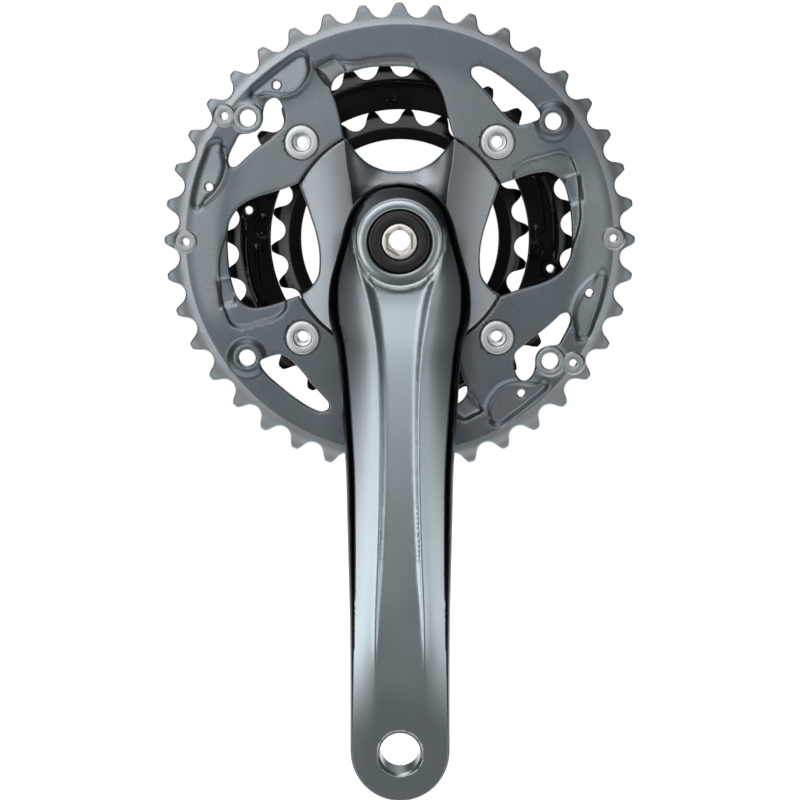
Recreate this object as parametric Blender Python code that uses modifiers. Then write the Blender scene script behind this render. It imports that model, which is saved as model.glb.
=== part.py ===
"""Drive-side triple bicycle crankset: a forged crank arm with its four-legged spider, three chainrings,
the chainring fasteners, the shift pins and the captive crank bolt under its extractor cap.

The crankset is modelled in the spindle's own frame, in millimetres: X to the right, Y up, Z outboard
along the spindle axis. An empty turns that frame so that the part stands in the world with Z up and its
outboard side facing -Y. Run it with: blender --background --python part.py
"""

import math

import bmesh
import bpy
from mathutils import Vector

MM = 0.001
FIT_GAP = 0.3          # between two pieces that touch, and between a pressed pin and its hole
CUT_THROUGH = 3.0      # how far a cutter runs past the face it opens

# ---- crank arm -----------------------------------------------------------------------------------
CRANK_LENGTH = 175.0   # spindle axis to pedal axis
ARM_HEAD_TOP = 20.9    # above the spindle axis
ARM_HEAD_HALF = 25.1   # widest, below the spindle
ARM_NECK_HALF = 21.9
ARM_WAIST_HALF = 18.4
ARM_EYE_RADIUS = 17.3  # round end about the pedal axis
ARM_EDGE_BEVEL = 3.0
HEAD_FACE = 37.0       # outboard face of the head, from the spindle seat
EYE_FACE = 51.5        # outboard face of the pedal eye
EYE_THICKNESS = 13.5
HEAD_BACK = 16.0       # back of the head, inside the spider's body
NECK_BACK = 25.0       # back of the arm where it clears the outer ring
LAND_RADIUS = 14.0     # round land about the crank bolt
LAND_HEIGHT = 0.5
PEDAL_BORE_RADIUS = 6.9
PEDAL_CHAMFER = 1.0

# ---- hub and crank bolt --------------------------------------------------------------------------
HUB_RADIUS = 17.5
SPLINE_BORE_RADIUS = 10.9
SPLINE_BORE_DEPTH = 23.5
CAP_THREAD_RADIUS = 11.0
CAP_RECESS_DEPTH = 8.0     # from the land's face down to the shoulder under the washer
BOLT_HOLE_RADIUS = 8.0     # through the shoulder
WASHER_RADIUS = 10.2
WASHER_THICKNESS = 1.0
BOLT_FLANGE_RADIUS = 9.6
BOLT_FLANGE_THICKNESS = 2.4
BOLT_HEAD_RADIUS = 6.4
BOLT_SHANK_RADIUS = 7.4
BOLT_SHANK_LENGTH = 18.0   # from the flange's underside
HEX_ACROSS_FLATS = 8.0
HEX_DEPTH = 8.0
BOLT_BORE_RADIUS = 3.9
CAP_INSET = 0.7            # below the land's face
BOLT_HEAD_INSET = 0.4      # below the cap's face
RUNNING_GAP = 0.25         # about the captive bolt, which turns

# ---- chainrings ----------------------------------------------------------------------------------
CHAIN_PITCH = 12.7
ROLLER_SEAT_RADIUS = 4.0
TOOTH_THICKNESS = 2.1
OUTER_TEETH, MIDDLE_TEETH, INNER_TEETH = 40, 30, 22
OUTER_PHASE, MIDDLE_PHASE, INNER_PHASE = 0.0, -1.0, 4.3     # degrees to the first tooth
TOOTH_RISE = 1.1           # tip above the pitch circle
TOOTH_TIP_HALF = 1.2
OUTER_PLANE, MIDDLE_PLANE, INNER_PLANE = 20.0, 12.0, 4.0    # middle of the teeth, from the spindle seat
OUTER_WEB, MIDDLE_WEB, INNER_WEB = 4.0, 3.0, 3.0            # thickness inside the teeth
OUTER_WEB_SHIFT = 0.4      # the outer ring's web stands outboard of its teeth
BOLT_CIRCLE = 96.0         # diameter, outer and middle rings
INNER_BOLT_CIRCLE = 64.0
RIM_DEPTH = 16.8           # outer ring: from the root circle in to its four windows
TAB_INSET = 7.8            # outer ring: from the bolt circle in to the ends of its four tabs
RIM_CHAMFER = 2.5          # the flat band stops this far inside the root circle
MIDDLE_BAND = 11.5         # radial depth of the ring under its teeth
INNER_BAND = 5.6
PAD_RADIUS = 7.6           # round pad about each bolt of the middle and inner rings

# Angles in degrees from +X. The ring looks the same after half a turn.
TOP_WINDOW = (61.9, 79.0, 113.7, 118.5)      # right tab, right corner, left corner, left tab
SIDE_WINDOW = (-30.0, -11.5, 25.2, 28.8)
WINDOW_CORNERS = (7.0, 3.5)                  # corner radii of a window, its wide and its tight end
GUARD_HOLE_RADIUS = 3.0
GUARD_DEPTH = 9.6                            # from the root circle in to the guard screws' circle
GUARD_BOSS_ANGLE, GUARD_LUG_ANGLE = 37.3, 141.2
GUARD_BOSS_RADIUS, GUARD_BOSS_RISE = 7.2, 0.8
GUARD_LUG_RADIUS = 5.5

# Shift pins of the outer ring, on one half of it: (depth inside the root circle, angle).
# The pins are hollow rivets.
PIN_PLACES = ((8.4, 128.4), (2.7, 144.6), (8.3, 164.4), (2.6, 180.4))
PIN_BOSSES = (1, 3)                          # those of them that stand on a raised boss
PIN_BOSS_RADIUS, PIN_BOSS_RISE = 4.2, 0.4
PIN_RADIUS, PIN_BORE_RADIUS = 2.2, 1.35
PIN_HEAD_RADIUS, PIN_HEAD_THICKNESS = 3.1, 1.5
MIDDLE_PIN_PLACE = (2.9, 169.0)
DROP_PIN_PLACE = (7.9, 270.0)
DROP_PIN_RADIUS, DROP_PIN_LENGTH = 1.9, 4.2

# ---- spider --------------------------------------------------------------------------------------
SPIDER_BACK, SPIDER_FACE = 14.0, 22.0
SPIDER_VALLEY_TOP = 23.8   # spindle axis to the hollow between the two upper legs
SPIDER_VALLEY_SIDE = 27.6
LEG_TAB_HALF = 8.2         # half the width of a leg behind the outer ring
STANDOFF_RADIUS = 6.6      # carries an inner ring bolt

# ---- chainring fasteners -------------------------------------------------------------------------
NUT_SLEEVE_RADIUS = 5.0
NUT_FLANGE_RADIUS, NUT_FLANGE_THICKNESS = 6.6, 1.3
RING_BOLT_RADIUS = 3.9
RING_BOLT_HEAD_RADIUS, RING_BOLT_HEAD_THICKNESS = 5.9, 1.5
RING_BOLT_COUNTERBORE = 0.7
RING_BOLT_SOCKET_RADIUS, RING_BOLT_SOCKET_DEPTH = 3.0, 3.4
RING_BOLT_BORE_RADIUS = 2.1
INNER_BOLT_RADIUS, INNER_BOLT_LENGTH = 3.9, 9.0
INNER_BOLT_HEAD_RADIUS, INNER_BOLT_HEAD_THICKNESS = 6.2, 2.1
INNER_SOCKET_RADIUS, INNER_SOCKET_DEPTH = 2.9, 3.5       # to the hexagon's corners; from the head's end

# ---- worked out from the above -------------------------------------------------------------------
OUTER_FACE = OUTER_PLANE + OUTER_WEB_SHIFT + OUTER_WEB / 2
OUTER_BACK = OUTER_FACE - OUTER_WEB
MIDDLE_FACE, MIDDLE_BACK = MIDDLE_PLANE + MIDDLE_WEB / 2, MIDDLE_PLANE - MIDDLE_WEB / 2
INNER_FACE, INNER_BACK = INNER_PLANE + INNER_WEB / 2, INNER_PLANE - INNER_WEB / 2
LEG_FACE, LEG_BACK = OUTER_BACK - FIT_GAP, MIDDLE_FACE + FIT_GAP
SHOULDER = HEAD_FACE + LAND_HEIGHT - CAP_RECESS_DEPTH
BOLT_UNDERSIDE = SHOULDER + WASHER_THICKNESS + 2 * FIT_GAP
CAP_FACE = HEAD_FACE + LAND_HEIGHT - CAP_INSET
LEG_ANGLES = (45.0, 135.0, 225.0, 315.0)
TAB_END = BOLT_CIRCLE / 2 - TAB_INSET

ALUMINIUM = ("forged_aluminium", (0.47, 0.50, 0.52), 0.34, 0.9)
RING_ALUMINIUM = ("pressed_aluminium", (0.38, 0.41, 0.43), 0.42, 0.85)
BLACK_STEEL = ("black_steel", (0.02, 0.02, 0.022), 0.4, 0.6)
BRIGHT_STEEL = ("bright_steel", (0.72, 0.72, 0.72), 0.25, 1.0)
BLACK_RESIN = ("black_resin", (0.015, 0.015, 0.018), 0.35, 0.0)


# ---- drawing helpers -----------------------------------------------------------------------------
def polar(radius, degrees):
    """A point of the plane at this radius and angle about the spindle axis."""
    return Vector((radius * math.cos(math.radians(degrees)), radius * math.sin(math.radians(degrees))))


def half_turn(points):
    """The same points after half a turn about the spindle axis."""
    return [-p for p in points]


def arc(centre, radius, start, end, count):
    """Points along an arc about centre, its angles in degrees, both ends included."""
    steps = [start + (end - start) * i / (count - 1) for i in range(count)]
    return [Vector(centre) + polar(radius, a) for a in steps]


def circle(centre, radius, count):
    """Points of a full circle about centre."""
    return [Vector(centre) + polar(radius, 360 * i / count) for i in range(count)]


def rounded(corners, segments=3):
    """A closed outline from (point, corner radius) pairs, each corner of radius over 0 cut to an arc."""
    outline = []
    for i, (point, radius) in enumerate(corners):
        point = Vector(point)
        before = Vector(corners[i - 1][0]) - point
        after = Vector(corners[(i + 1) % len(corners)][0]) - point
        if radius <= 0:
            outline.append(point)
            continue
        half_angle = before.angle(after) / 2
        reach = min(radius / math.tan(half_angle), 0.49 * before.length, 0.49 * after.length)
        radius = reach * math.tan(half_angle)
        bisector = (before.normalized() + after.normalized()).normalized()
        middle = point + bisector * (radius / math.sin(half_angle))
        first = point + before.normalized() * reach - middle
        turn = first.angle_signed(point + after.normalized() * reach - middle)
        for k in range(segments + 1):
            angle = -turn * k / segments
            c, s = math.cos(angle), math.sin(angle)
            outline.append(middle + Vector((first.x * c - first.y * s, first.x * s + first.y * c)))
    return outline


def pitch_radius(teeth):
    """Radius of the circle through the chain's pins."""
    return CHAIN_PITCH / 2 / math.sin(math.pi / teeth)


def root_radius(teeth):
    """Radius at the bottom of the tooth gaps."""
    return pitch_radius(teeth) - ROLLER_SEAT_RADIUS


def tooth_outline(teeth, phase):
    """The toothed outer edge of a chainring: blunt teeth with a roller seat between each two."""
    step = 360 / teeth
    tip = pitch_radius(teeth) + TOOTH_RISE
    tip_angle = math.degrees(TOOTH_TIP_HALF / tip)
    outline = []
    for k in range(teeth):
        tooth = phase + k * step
        outline += [polar(tip - 0.5, tooth - tip_angle * 1.25), polar(tip, tooth - tip_angle * 0.5)]
        outline += [polar(tip, tooth + tip_angle * 0.5), polar(tip - 0.5, tooth + tip_angle * 1.25)]
        gap = tooth + step / 2
        seat = polar(pitch_radius(teeth), gap)
        outline += arc(seat, ROLLER_SEAT_RADIUS, gap - 122, gap - 238, 4)
    return outline


# ---- solids --------------------------------------------------------------------------------------
def material(name, colour, roughness, metallic):
    """The Principled material of this name, made once."""
    found = bpy.data.materials.get(name)
    if found:
        return found
    made = bpy.data.materials.new(name)
    made.use_nodes = True
    shader = made.node_tree.nodes["Principled BSDF"]
    shader.inputs["Base Color"].default_value = (*colour, 1)
    shader.inputs["Roughness"].default_value = roughness
    shader.inputs["Metallic"].default_value = metallic
    return made


def add_object(name, data, collection):
    """A new object in the spindle's frame."""
    made = bpy.data.objects.new(name, data)
    collection.objects.link(made)
    made.parent = FRAME
    return made


def as_mesh(source, weld=True):
    """Replaces a curve, or an object with modifiers, by the plain mesh that it evaluates to."""
    bpy.context.view_layer.update()
    graph = bpy.context.evaluated_depsgraph_get()
    mesh = bpy.data.meshes.new_from_object(source.evaluated_get(graph))
    shape = bmesh.new()
    shape.from_mesh(mesh)
    if weld:
        bmesh.ops.remove_doubles(shape, verts=shape.verts, dist=0.005 * MM)
        bmesh.ops.recalc_face_normals(shape, faces=shape.faces)
    bmesh.ops.triangulate(shape, faces=shape.faces)
    shape.to_mesh(mesh)
    shape.free()
    name, collection = source.name, source.users_collection[0]
    place = source.matrix_local.copy()
    bpy.data.objects.remove(source)
    made = add_object(name, mesh, collection)
    made.matrix_local = place
    return made


def plate(name, outlines, back, face, collection):
    """A flat plate between two heights. The first outline is its edge and the others are holes in it."""
    curve = bpy.data.curves.new(name, "CURVE")
    curve.dimensions = "2D"
    curve.fill_mode = "BOTH"
    curve.extrude = (face - back) / 2 * MM
    for outline in outlines:
        spline = curve.splines.new("POLY")
        spline.points.add(len(outline) - 1)
        spline.use_cyclic_u = True
        for point, corner in zip(spline.points, outline):
            point.co = (corner.x * MM, corner.y * MM, 0, 1)
    made = add_object(name, curve, collection)
    made.location.z = (face + back) / 2 * MM
    return as_mesh(made)


def turned(name, profile, collection, steps=32, at=(0, 0)):
    """A body turned about the line through at along Z, from a closed profile of (radius, height) pairs."""
    mesh = bpy.data.meshes.new(name)
    points = [(r * MM, 0, h * MM) for r, h in profile]
    mesh.from_pydata(points, [(i, (i + 1) % len(points)) for i in range(len(points))], [])
    made = add_object(name, mesh, collection)
    made.location = (at[0] * MM, at[1] * MM, 0)
    screw = made.modifiers.new("turn", "SCREW")
    screw.steps = steps
    screw.render_steps = steps
    screw.use_merge_vertices = True
    screw.merge_threshold = 0.00001
    return as_mesh(made)


def cylinder(name, radius, back, face, collection, at=(0, 0), vertices=26):
    """A plain round or, with few vertices, prismatic bar between two heights."""
    shape = bmesh.new()
    size, length = radius * MM, (face - back) * MM
    bmesh.ops.create_cone(shape, cap_ends=True, segments=vertices, radius1=size, radius2=size, depth=length)
    mesh = bpy.data.meshes.new(name)
    shape.to_mesh(mesh)
    shape.free()
    made = add_object(name, mesh, collection)
    made.location = (at[0] * MM, at[1] * MM, (face + back) / 2 * MM)
    return made


def combine(target, operation, others):
    """Joins the others to the target, or cuts them out of it, and keeps the target as a plain mesh."""
    for other in others:
        boolean = target.modifiers.new(operation.lower(), "BOOLEAN")
        boolean.operation = operation
        boolean.object = other
        other.hide_render = True
        other.display_type = "WIRE"
        target = as_mesh(target, weld=False)
    return target


def finish(made, look):
    """Gives a piece its material and its smooth shading."""
    made.data.materials.clear()
    made.data.materials.append(material(*look))
    made.data.shade_smooth()
    made.data.set_sharp_from_angle(angle=math.radians(35))
    return made


# ---- crank arm -----------------------------------------------------------------------------------
def arm_front_outline():
    """The arm seen from outboard: head, neck, waist, and the round end about the pedal axis."""
    right = [
        ((7.6, ARM_HEAD_TOP), 7.0),
        ((17.0, 12.6), 6.0),
        ((ARM_HEAD_HALF, -17.5), 9.0),
        ((ARM_NECK_HALF, -38.0), 25.0),
        ((ARM_WAIST_HALF, -0.52 * CRANK_LENGTH), 60.0),
        ((ARM_EYE_RADIUS, 30.0 - CRANK_LENGTH), 40.0),
    ]
    left = [((-x, y), radius) for (x, y), radius in reversed(right)]
    end = [((ARM_EYE_RADIUS, -CRANK_LENGTH), 0), ((-ARM_EYE_RADIUS, -CRANK_LENGTH), 0)]
    sides = rounded([*right, *end, *left])
    low = [p for p in sides if p.y > -CRANK_LENGTH + 0.01]
    split = next(i for i, p in enumerate(low) if p.x < 0)
    eye = arc((0, -CRANK_LENGTH), ARM_EYE_RADIUS, 0, -180, 13)
    return low[:split] + eye + low[split:]


def arm_side_outline():
    """The arm seen from behind the bike, as (height, along): it leans outboard towards the pedal eye."""
    end = -CRANK_LENGTH - ARM_EYE_RADIUS - CUT_THROUGH
    front = [
        (HEAD_FACE, ARM_HEAD_TOP + CUT_THROUGH),
        (HEAD_FACE, -14.0),
        (HEAD_FACE + 0.28 * (EYE_FACE - HEAD_FACE), -0.34 * CRANK_LENGTH),
        (HEAD_FACE + 0.72 * (EYE_FACE - HEAD_FACE), -0.66 * CRANK_LENGTH),
        (EYE_FACE, 14.0 - CRANK_LENGTH),
        (EYE_FACE, end),
    ]
    eye_back = EYE_FACE - EYE_THICKNESS
    back = [
        (eye_back, end),
        (eye_back, 14.0 - CRANK_LENGTH),
        (NECK_BACK + 0.45 * (eye_back - NECK_BACK), -0.5 * CRANK_LENGTH),
        (NECK_BACK, -31.0),
        (HEAD_BACK, -24.0),
        (HEAD_BACK, ARM_HEAD_TOP + CUT_THROUGH),
    ]
    return [Vector(p) for p in front + back]


def arm_body():
    """The arm itself, without the spider: its front view and its side view cut from one another."""
    body = plate("crank_arm", [arm_front_outline()], 0, EYE_FACE + CUT_THROUGH, PIECES)
    side = plate("arm_side_view", [arm_side_outline()], -40, 40, CUTTERS)
    side.rotation_euler.y = math.radians(-90)
    body = combine(body, "INTERSECT", [side])
    bevel = body.modifiers.new("edge", "BEVEL")
    bevel.width = ARM_EDGE_BEVEL * MM
    bevel.segments = 2
    bevel.limit_method = "ANGLE"
    bevel.angle_limit = math.radians(60)
    return as_mesh(body, weld=False)


def spider_outline():
    """The spider's visible body: four legs that end just inside the outer ring's tabs, with hollows between."""
    reach = TAB_END - FIT_GAP
    upper = arc((0, 0), reach, SIDE_WINDOW[3], TOP_WINDOW[0], 6)
    lower = arc((0, 0), reach, -TOP_WINDOW[0], -SIDE_WINDOW[3], 6)
    top, side = SPIDER_VALLEY_TOP, SPIDER_VALLEY_SIDE
    hollow_top = rounded([((0, top), 0), (upper[-1], 0), ((10.0, top + 1.2), 9.0)], 4)[2:]
    hollow_side = rounded([(lower[-1], 0), ((side - 1.5, -9.0), 6.0), (upper[0], 0)], 3)[1:-1]
    right = lower + hollow_side + upper + hollow_top
    low = [Vector((p.x, -p.y)) for p in reversed(hollow_top)]
    right = low + right
    left = [Vector((-p.x, p.y)) for p in reversed(right)]
    return right + left


def leg_tab(angle):
    """The outline of one leg behind the outer ring, out to its bolt."""
    along, across = polar(1, angle), polar(1, angle + 90)
    inner = along * (BOLT_CIRCLE / 2 - 18)
    bolt = along * (BOLT_CIRCLE / 2)
    end = arc(bolt, LEG_TAB_HALF, angle - 90, angle + 90, 9)
    return [inner - across * LEG_TAB_HALF, *end, inner + across * LEG_TAB_HALF]


def crank_arm():
    """One forging: arm, hub, spider legs and the inner ring's standoffs, with every bore cut."""
    arm = arm_body()
    joined = [
        plate("spider_body", [spider_outline()], SPIDER_BACK, SPIDER_FACE, CUTTERS),
        cylinder("hub", HUB_RADIUS, 0, HEAD_BACK + 5, CUTTERS, vertices=48),
        cylinder("land", LAND_RADIUS, HEAD_BACK, HEAD_FACE + LAND_HEIGHT, CUTTERS, vertices=48),
    ]
    cuts = [
        cylinder("cap_recess", CAP_THREAD_RADIUS, SHOULDER, HEAD_FACE + CUT_THROUGH, CUTTERS, vertices=48),
        cylinder("bolt_hole", BOLT_HOLE_RADIUS, SPLINE_BORE_DEPTH - 1, SHOULDER + 1, CUTTERS, vertices=32),
        cylinder("spline_bore", SPLINE_BORE_RADIUS, -CUT_THROUGH, SPLINE_BORE_DEPTH, CUTTERS, vertices=32),
        pedal_bore(),
    ]
    leg_hole, standoff_hole = NUT_SLEEVE_RADIUS + FIT_GAP, INNER_BOLT_RADIUS + FIT_GAP
    standoff_end, standoff_hole_end = INNER_FACE + FIT_GAP, INNER_BACK + INNER_BOLT_LENGTH + 1
    for i, angle in enumerate(LEG_ANGLES):
        inner, outer = polar(INNER_BOLT_CIRCLE / 2, angle), polar(BOLT_CIRCLE / 2, angle)
        joined.append(plate(f"leg_{i}", [leg_tab(angle)], LEG_BACK, LEG_FACE, CUTTERS))
        joined.append(
            cylinder(f"standoff_{i}", STANDOFF_RADIUS, standoff_end, SPIDER_BACK + 1, CUTTERS, inner)
        )
        cuts.append(cylinder(f"leg_hole_{i}", leg_hole, LEG_BACK - 1, SPIDER_FACE + 1, CUTTERS, outer))
        cuts.append(cylinder(f"standoff_hole_{i}", standoff_hole, 0, standoff_hole_end, CUTTERS, inner))
    arm = combine(arm, "UNION", joined)
    return finish(combine(arm, "DIFFERENCE", cuts), ALUMINIUM)


def pedal_bore():
    """Cutter for the pedal's bore, with a chamfer at its outboard mouth."""
    wide = PEDAL_BORE_RADIUS + PEDAL_CHAMFER
    back = EYE_FACE - EYE_THICKNESS - CUT_THROUGH
    profile = [
        (0.2, back),
        (0.2, EYE_FACE + CUT_THROUGH),
        (wide + CUT_THROUGH, EYE_FACE + CUT_THROUGH),
        (wide, EYE_FACE),
        (PEDAL_BORE_RADIUS, EYE_FACE - PEDAL_CHAMFER),
        (PEDAL_BORE_RADIUS, back),
    ]
    ring = turned("pedal_bore_wall", profile, CUTTERS, 40, (0, -CRANK_LENGTH))
    core = cylinder("pedal_bore", 1.0, back, EYE_FACE + CUT_THROUGH, CUTTERS, (0, -CRANK_LENGTH), 12)
    return combine(core, "UNION", [ring])


# ---- chainrings ----------------------------------------------------------------------------------
def window(angles, rim, tab):
    """The outer ring's inner edge round one window, from its first tab to its next."""
    first, corner, last_corner, last = angles
    wide, tight = WINDOW_CORNERS
    middle = arc((0, 0), rim, corner + 7, last_corner - 7, 5)
    path = [(polar(tab, first), 0), (polar(rim, corner), wide), *[(p, 0) for p in middle]]
    path += [(polar(rim, last_corner), tight), (polar(tab, last), 0)]
    return rounded(path, 4)


def outer_inside_edge(rim, tab):
    """The outer ring's inner edge: four windows with a tab between each two."""
    side = window(SIDE_WINDOW, rim, tab)
    top = window(TOP_WINDOW, rim, tab)
    half = side + arc((0, 0), tab, SIDE_WINDOW[3], TOP_WINDOW[0], 7)[1:-1] + top
    gap = arc((0, 0), tab, TOP_WINDOW[3], SIDE_WINDOW[0] + 180, 7)[1:-1]
    half = half + gap
    return half + half_turn(half)


def crescent_slot(rim):
    """The long slot beside the guard boss."""
    far = rim + 5.8
    outer = arc((0, 0), far, 47.0, 61.0, 4)
    corners = [(polar(rim - 4.0, 44.4), 2.6), (polar(far - 0.3, 40.6), 1.6), *[(p, 0) for p in outer]]
    return rounded([*corners, (polar(far - 0.6, 68.2), 2.4)], 3)


def lug_slot(rim):
    """The slot that wraps round the guard lug on the other side of the ring."""
    lug = polar(rim + RIM_DEPTH - GUARD_DEPTH, GUARD_LUG_ANGLE)
    start = rounded(
        [
            (polar(rim + 2.3, 156.0), 2.0),
            (polar(rim + 5.4, 156.2), 2.0),
            (polar(rim + 6.0, 147.2), 1.0),
            (lug + polar(GUARD_LUG_RADIUS, 255), 0),
        ],
        3,
    )
    bend = arc(lug, GUARD_LUG_RADIUS, 262, 395, 7)
    end = rounded(
        [
            (lug + polar(GUARD_LUG_RADIUS, 398), 0),
            (polar(rim + 6.6, 134.0), 1.2),
            (polar(rim + 4.8, 130.0), 2.4),
            (polar(rim - 4.6, 135.6), 2.6),
            (start[0], 0),
        ],
        3,
    )
    return start + bend + end[:-1]


def outer_chainring():
    """The big ring: four tabs, chamfered teeth, lightening slots, guard bosses and raised pin bosses."""
    root = root_radius(OUTER_TEETH)
    rim = root - RIM_DEPTH
    crescent, wrap = crescent_slot(rim), lug_slot(rim)
    edges = [tooth_outline(OUTER_TEETH, OUTER_PHASE), outer_inside_edge(rim, TAB_END)]
    edges += [crescent, half_turn(crescent), wrap, half_turn(wrap)]
    ring = plate("outer_chainring", edges, OUTER_BACK, OUTER_FACE, PIECES)
    chamfers = tooth_chamfers(OUTER_TEETH, OUTER_FACE, OUTER_BACK, OUTER_PLANE, RIM_CHAMFER)
    ring = combine(ring, "DIFFERENCE", chamfers)
    bosses, cuts = [], []
    low, over, foot = OUTER_BACK - 1, OUTER_FACE + CUT_THROUGH, OUTER_BACK + 1
    guard_top, pin_top = OUTER_FACE + GUARD_BOSS_RISE, OUTER_FACE + PIN_BOSS_RISE
    for turn in (0, 180):
        boss = polar(root - GUARD_DEPTH, GUARD_BOSS_ANGLE + turn)
        lug = polar(root - GUARD_DEPTH, GUARD_LUG_ANGLE + turn)
        bosses.append(cylinder("guard_boss", GUARD_BOSS_RADIUS, foot, guard_top, CUTTERS, boss))
        for place in (boss, lug):
            cuts.append(cylinder("guard_hole", GUARD_HOLE_RADIUS, low, over, CUTTERS, place, 16))
        for i, (depth, angle) in enumerate(PIN_PLACES):
            place = polar(root - depth, angle + turn)
            if i in PIN_BOSSES:
                bosses.append(cylinder("pin_boss", PIN_BOSS_RADIUS, foot, pin_top, CUTTERS, place, 20))
            cuts.append(cylinder("pin_hole", PIN_RADIUS + FIT_GAP, low, over, CUTTERS, place, 12))
    for angle in LEG_ANGLES:
        place = polar(BOLT_CIRCLE / 2, angle)
        face = OUTER_FACE - RING_BOLT_COUNTERBORE
        cuts.append(cylinder("ring_hole", NUT_SLEEVE_RADIUS + FIT_GAP, low, over, CUTTERS, place))
        cuts.append(cylinder("head_seat", RING_BOLT_HEAD_RADIUS + FIT_GAP, face, over, CUTTERS, place))
    place = drop_pin_place()
    cuts.append(cylinder("drop_pin_hole", DROP_PIN_RADIUS + FIT_GAP, low, over, CUTTERS, place, 12))
    ring = combine(ring, "UNION", bosses)
    return finish(combine(ring, "DIFFERENCE", cuts), RING_ALUMINIUM)


def drop_pin_place():
    """Where the chain-drop pin stands on the outer ring."""
    depth, angle = DROP_PIN_PLACE
    return polar(root_radius(OUTER_TEETH) - depth, angle)


def tooth_chamfers(teeth, face, back, plane, inset):
    """Cutters that thin a ring's edge, outboard and inboard, down to the chain's width."""
    start = root_radius(teeth) - inset
    beyond = pitch_radius(teeth) + TOOTH_RISE + CUT_THROUGH
    front, rear = plane + TOOTH_THICKNESS / 2, plane - TOOTH_THICKNESS / 2
    slope = start + inset + 1.5
    over, under = face + 1, back - 1
    front_run = (slope - start) / (face - front)
    rear_run = (slope - start) / (rear - back)
    outboard = [(start - front_run, over), (beyond, over), (beyond, front), (slope, front)]
    inboard = [(slope, rear), (beyond, rear), (beyond, under), (start - rear_run, under)]
    steps = teeth + 1      # so that no edge of the cutters meets a tooth gap's own edge
    return [
        turned(f"front_chamfer_{teeth}", outboard, CUTTERS, steps),
        turned(f"rear_chamfer_{teeth}", inboard, CUTTERS, steps),
    ]


def small_chainring(name, teeth, phase, plane, web, band, bolt_circle, hole_radius):
    """The middle or the inner ring: a toothed band with a round pad inside it at each bolt."""
    back, face = plane - web / 2, plane + web / 2
    inside = circle((0, 0), root_radius(teeth) - band, 64)
    ring = plate(name, [tooth_outline(teeth, phase), inside], back, face, PIECES)
    ring = combine(ring, "DIFFERENCE", tooth_chamfers(teeth, face, back, plane, 1.0))
    places = [polar(bolt_circle / 2, angle) for angle in LEG_ANGLES]
    ring = combine(ring, "UNION", [cylinder("pad", PAD_RADIUS, back, face, CUTTERS, p) for p in places])
    holes = [cylinder("bolt_hole", hole_radius, back - 1, face + 1, CUTTERS, p) for p in places]
    if teeth == MIDDLE_TEETH:
        for turn in (0, 180):
            place = polar(root_radius(teeth) - MIDDLE_PIN_PLACE[0], MIDDLE_PIN_PLACE[1] + turn)
            holes.append(cylinder("pin_hole", PIN_RADIUS + FIT_GAP, back - 1, face + 1, CUTTERS, place, 12))
    return finish(combine(ring, "DIFFERENCE", holes), BLACK_STEEL)


# ---- fasteners -----------------------------------------------------------------------------------
def shift_pin(name, place, back, face):
    """A hollow rivet through a ring, its round head on the inboard side where it lifts the chain."""
    head = back - FIT_GAP
    profile = [
        (PIN_BORE_RADIUS, face),
        (PIN_RADIUS, face),
        (PIN_RADIUS, head),
        (PIN_HEAD_RADIUS, head),
        (PIN_HEAD_RADIUS - 0.7, head - PIN_HEAD_THICKNESS),
        (PIN_BORE_RADIUS, head - PIN_HEAD_THICKNESS),
    ]
    return finish(turned(name, profile, PIECES, 12, place), BRIGHT_STEEL)


def chainring_bolt(name, place):
    """Bolt that clamps the outer and middle rings to a leg: a flat head, and a bore right through."""
    under = OUTER_FACE - RING_BOLT_COUNTERBORE + FIT_GAP
    top = under + RING_BOLT_HEAD_THICKNESS
    tip = MIDDLE_BACK - FIT_GAP
    profile = [
        (RING_BOLT_SOCKET_RADIUS, top),
        (RING_BOLT_HEAD_RADIUS - 0.3, top),
        (RING_BOLT_HEAD_RADIUS, top - 0.3),
        (RING_BOLT_HEAD_RADIUS, under),
        (RING_BOLT_RADIUS, under),
        (RING_BOLT_RADIUS, tip),
        (RING_BOLT_BORE_RADIUS, tip),
        (RING_BOLT_BORE_RADIUS, top - RING_BOLT_SOCKET_DEPTH),
        (RING_BOLT_SOCKET_RADIUS, top - RING_BOLT_SOCKET_DEPTH),
    ]
    return finish(turned(name, profile, PIECES, 16, place), BRIGHT_STEEL)


def chainring_nut(name, place):
    """Sleeve nut that comes through both rings and the leg from inboard."""
    under = MIDDLE_BACK - FIT_GAP
    bore = RING_BOLT_RADIUS + FIT_GAP
    top = OUTER_FACE - RING_BOLT_COUNTERBORE - FIT_GAP
    profile = [
        (bore, top),
        (NUT_SLEEVE_RADIUS, top),
        (NUT_SLEEVE_RADIUS, under),
        (NUT_FLANGE_RADIUS, under),
        (NUT_FLANGE_RADIUS, under - NUT_FLANGE_THICKNESS),
        (bore, under - NUT_FLANGE_THICKNESS),
    ]
    return finish(turned(name, profile, PIECES, 16, place), BRIGHT_STEEL)


def inner_ring_bolt(name, place):
    """Bolt that holds the inner ring to a standoff from inboard, with a hexagonal socket."""
    under = INNER_BACK - FIT_GAP
    bottom, tip = under - INNER_BOLT_HEAD_THICKNESS, INNER_BACK + INNER_BOLT_LENGTH
    floor = bottom + INNER_SOCKET_DEPTH
    head = cylinder(name, INNER_BOLT_HEAD_RADIUS, bottom, under, PIECES, place, 20)
    shank = cylinder("shank", INNER_BOLT_RADIUS, under - 1, tip, CUTTERS, place, 16)
    socket = cylinder("socket", INNER_SOCKET_RADIUS, bottom - 1, floor, CUTTERS, place, 6)
    head = combine(head, "UNION", [shank])
    return finish(combine(head, "DIFFERENCE", [socket]), BRIGHT_STEEL)


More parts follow.
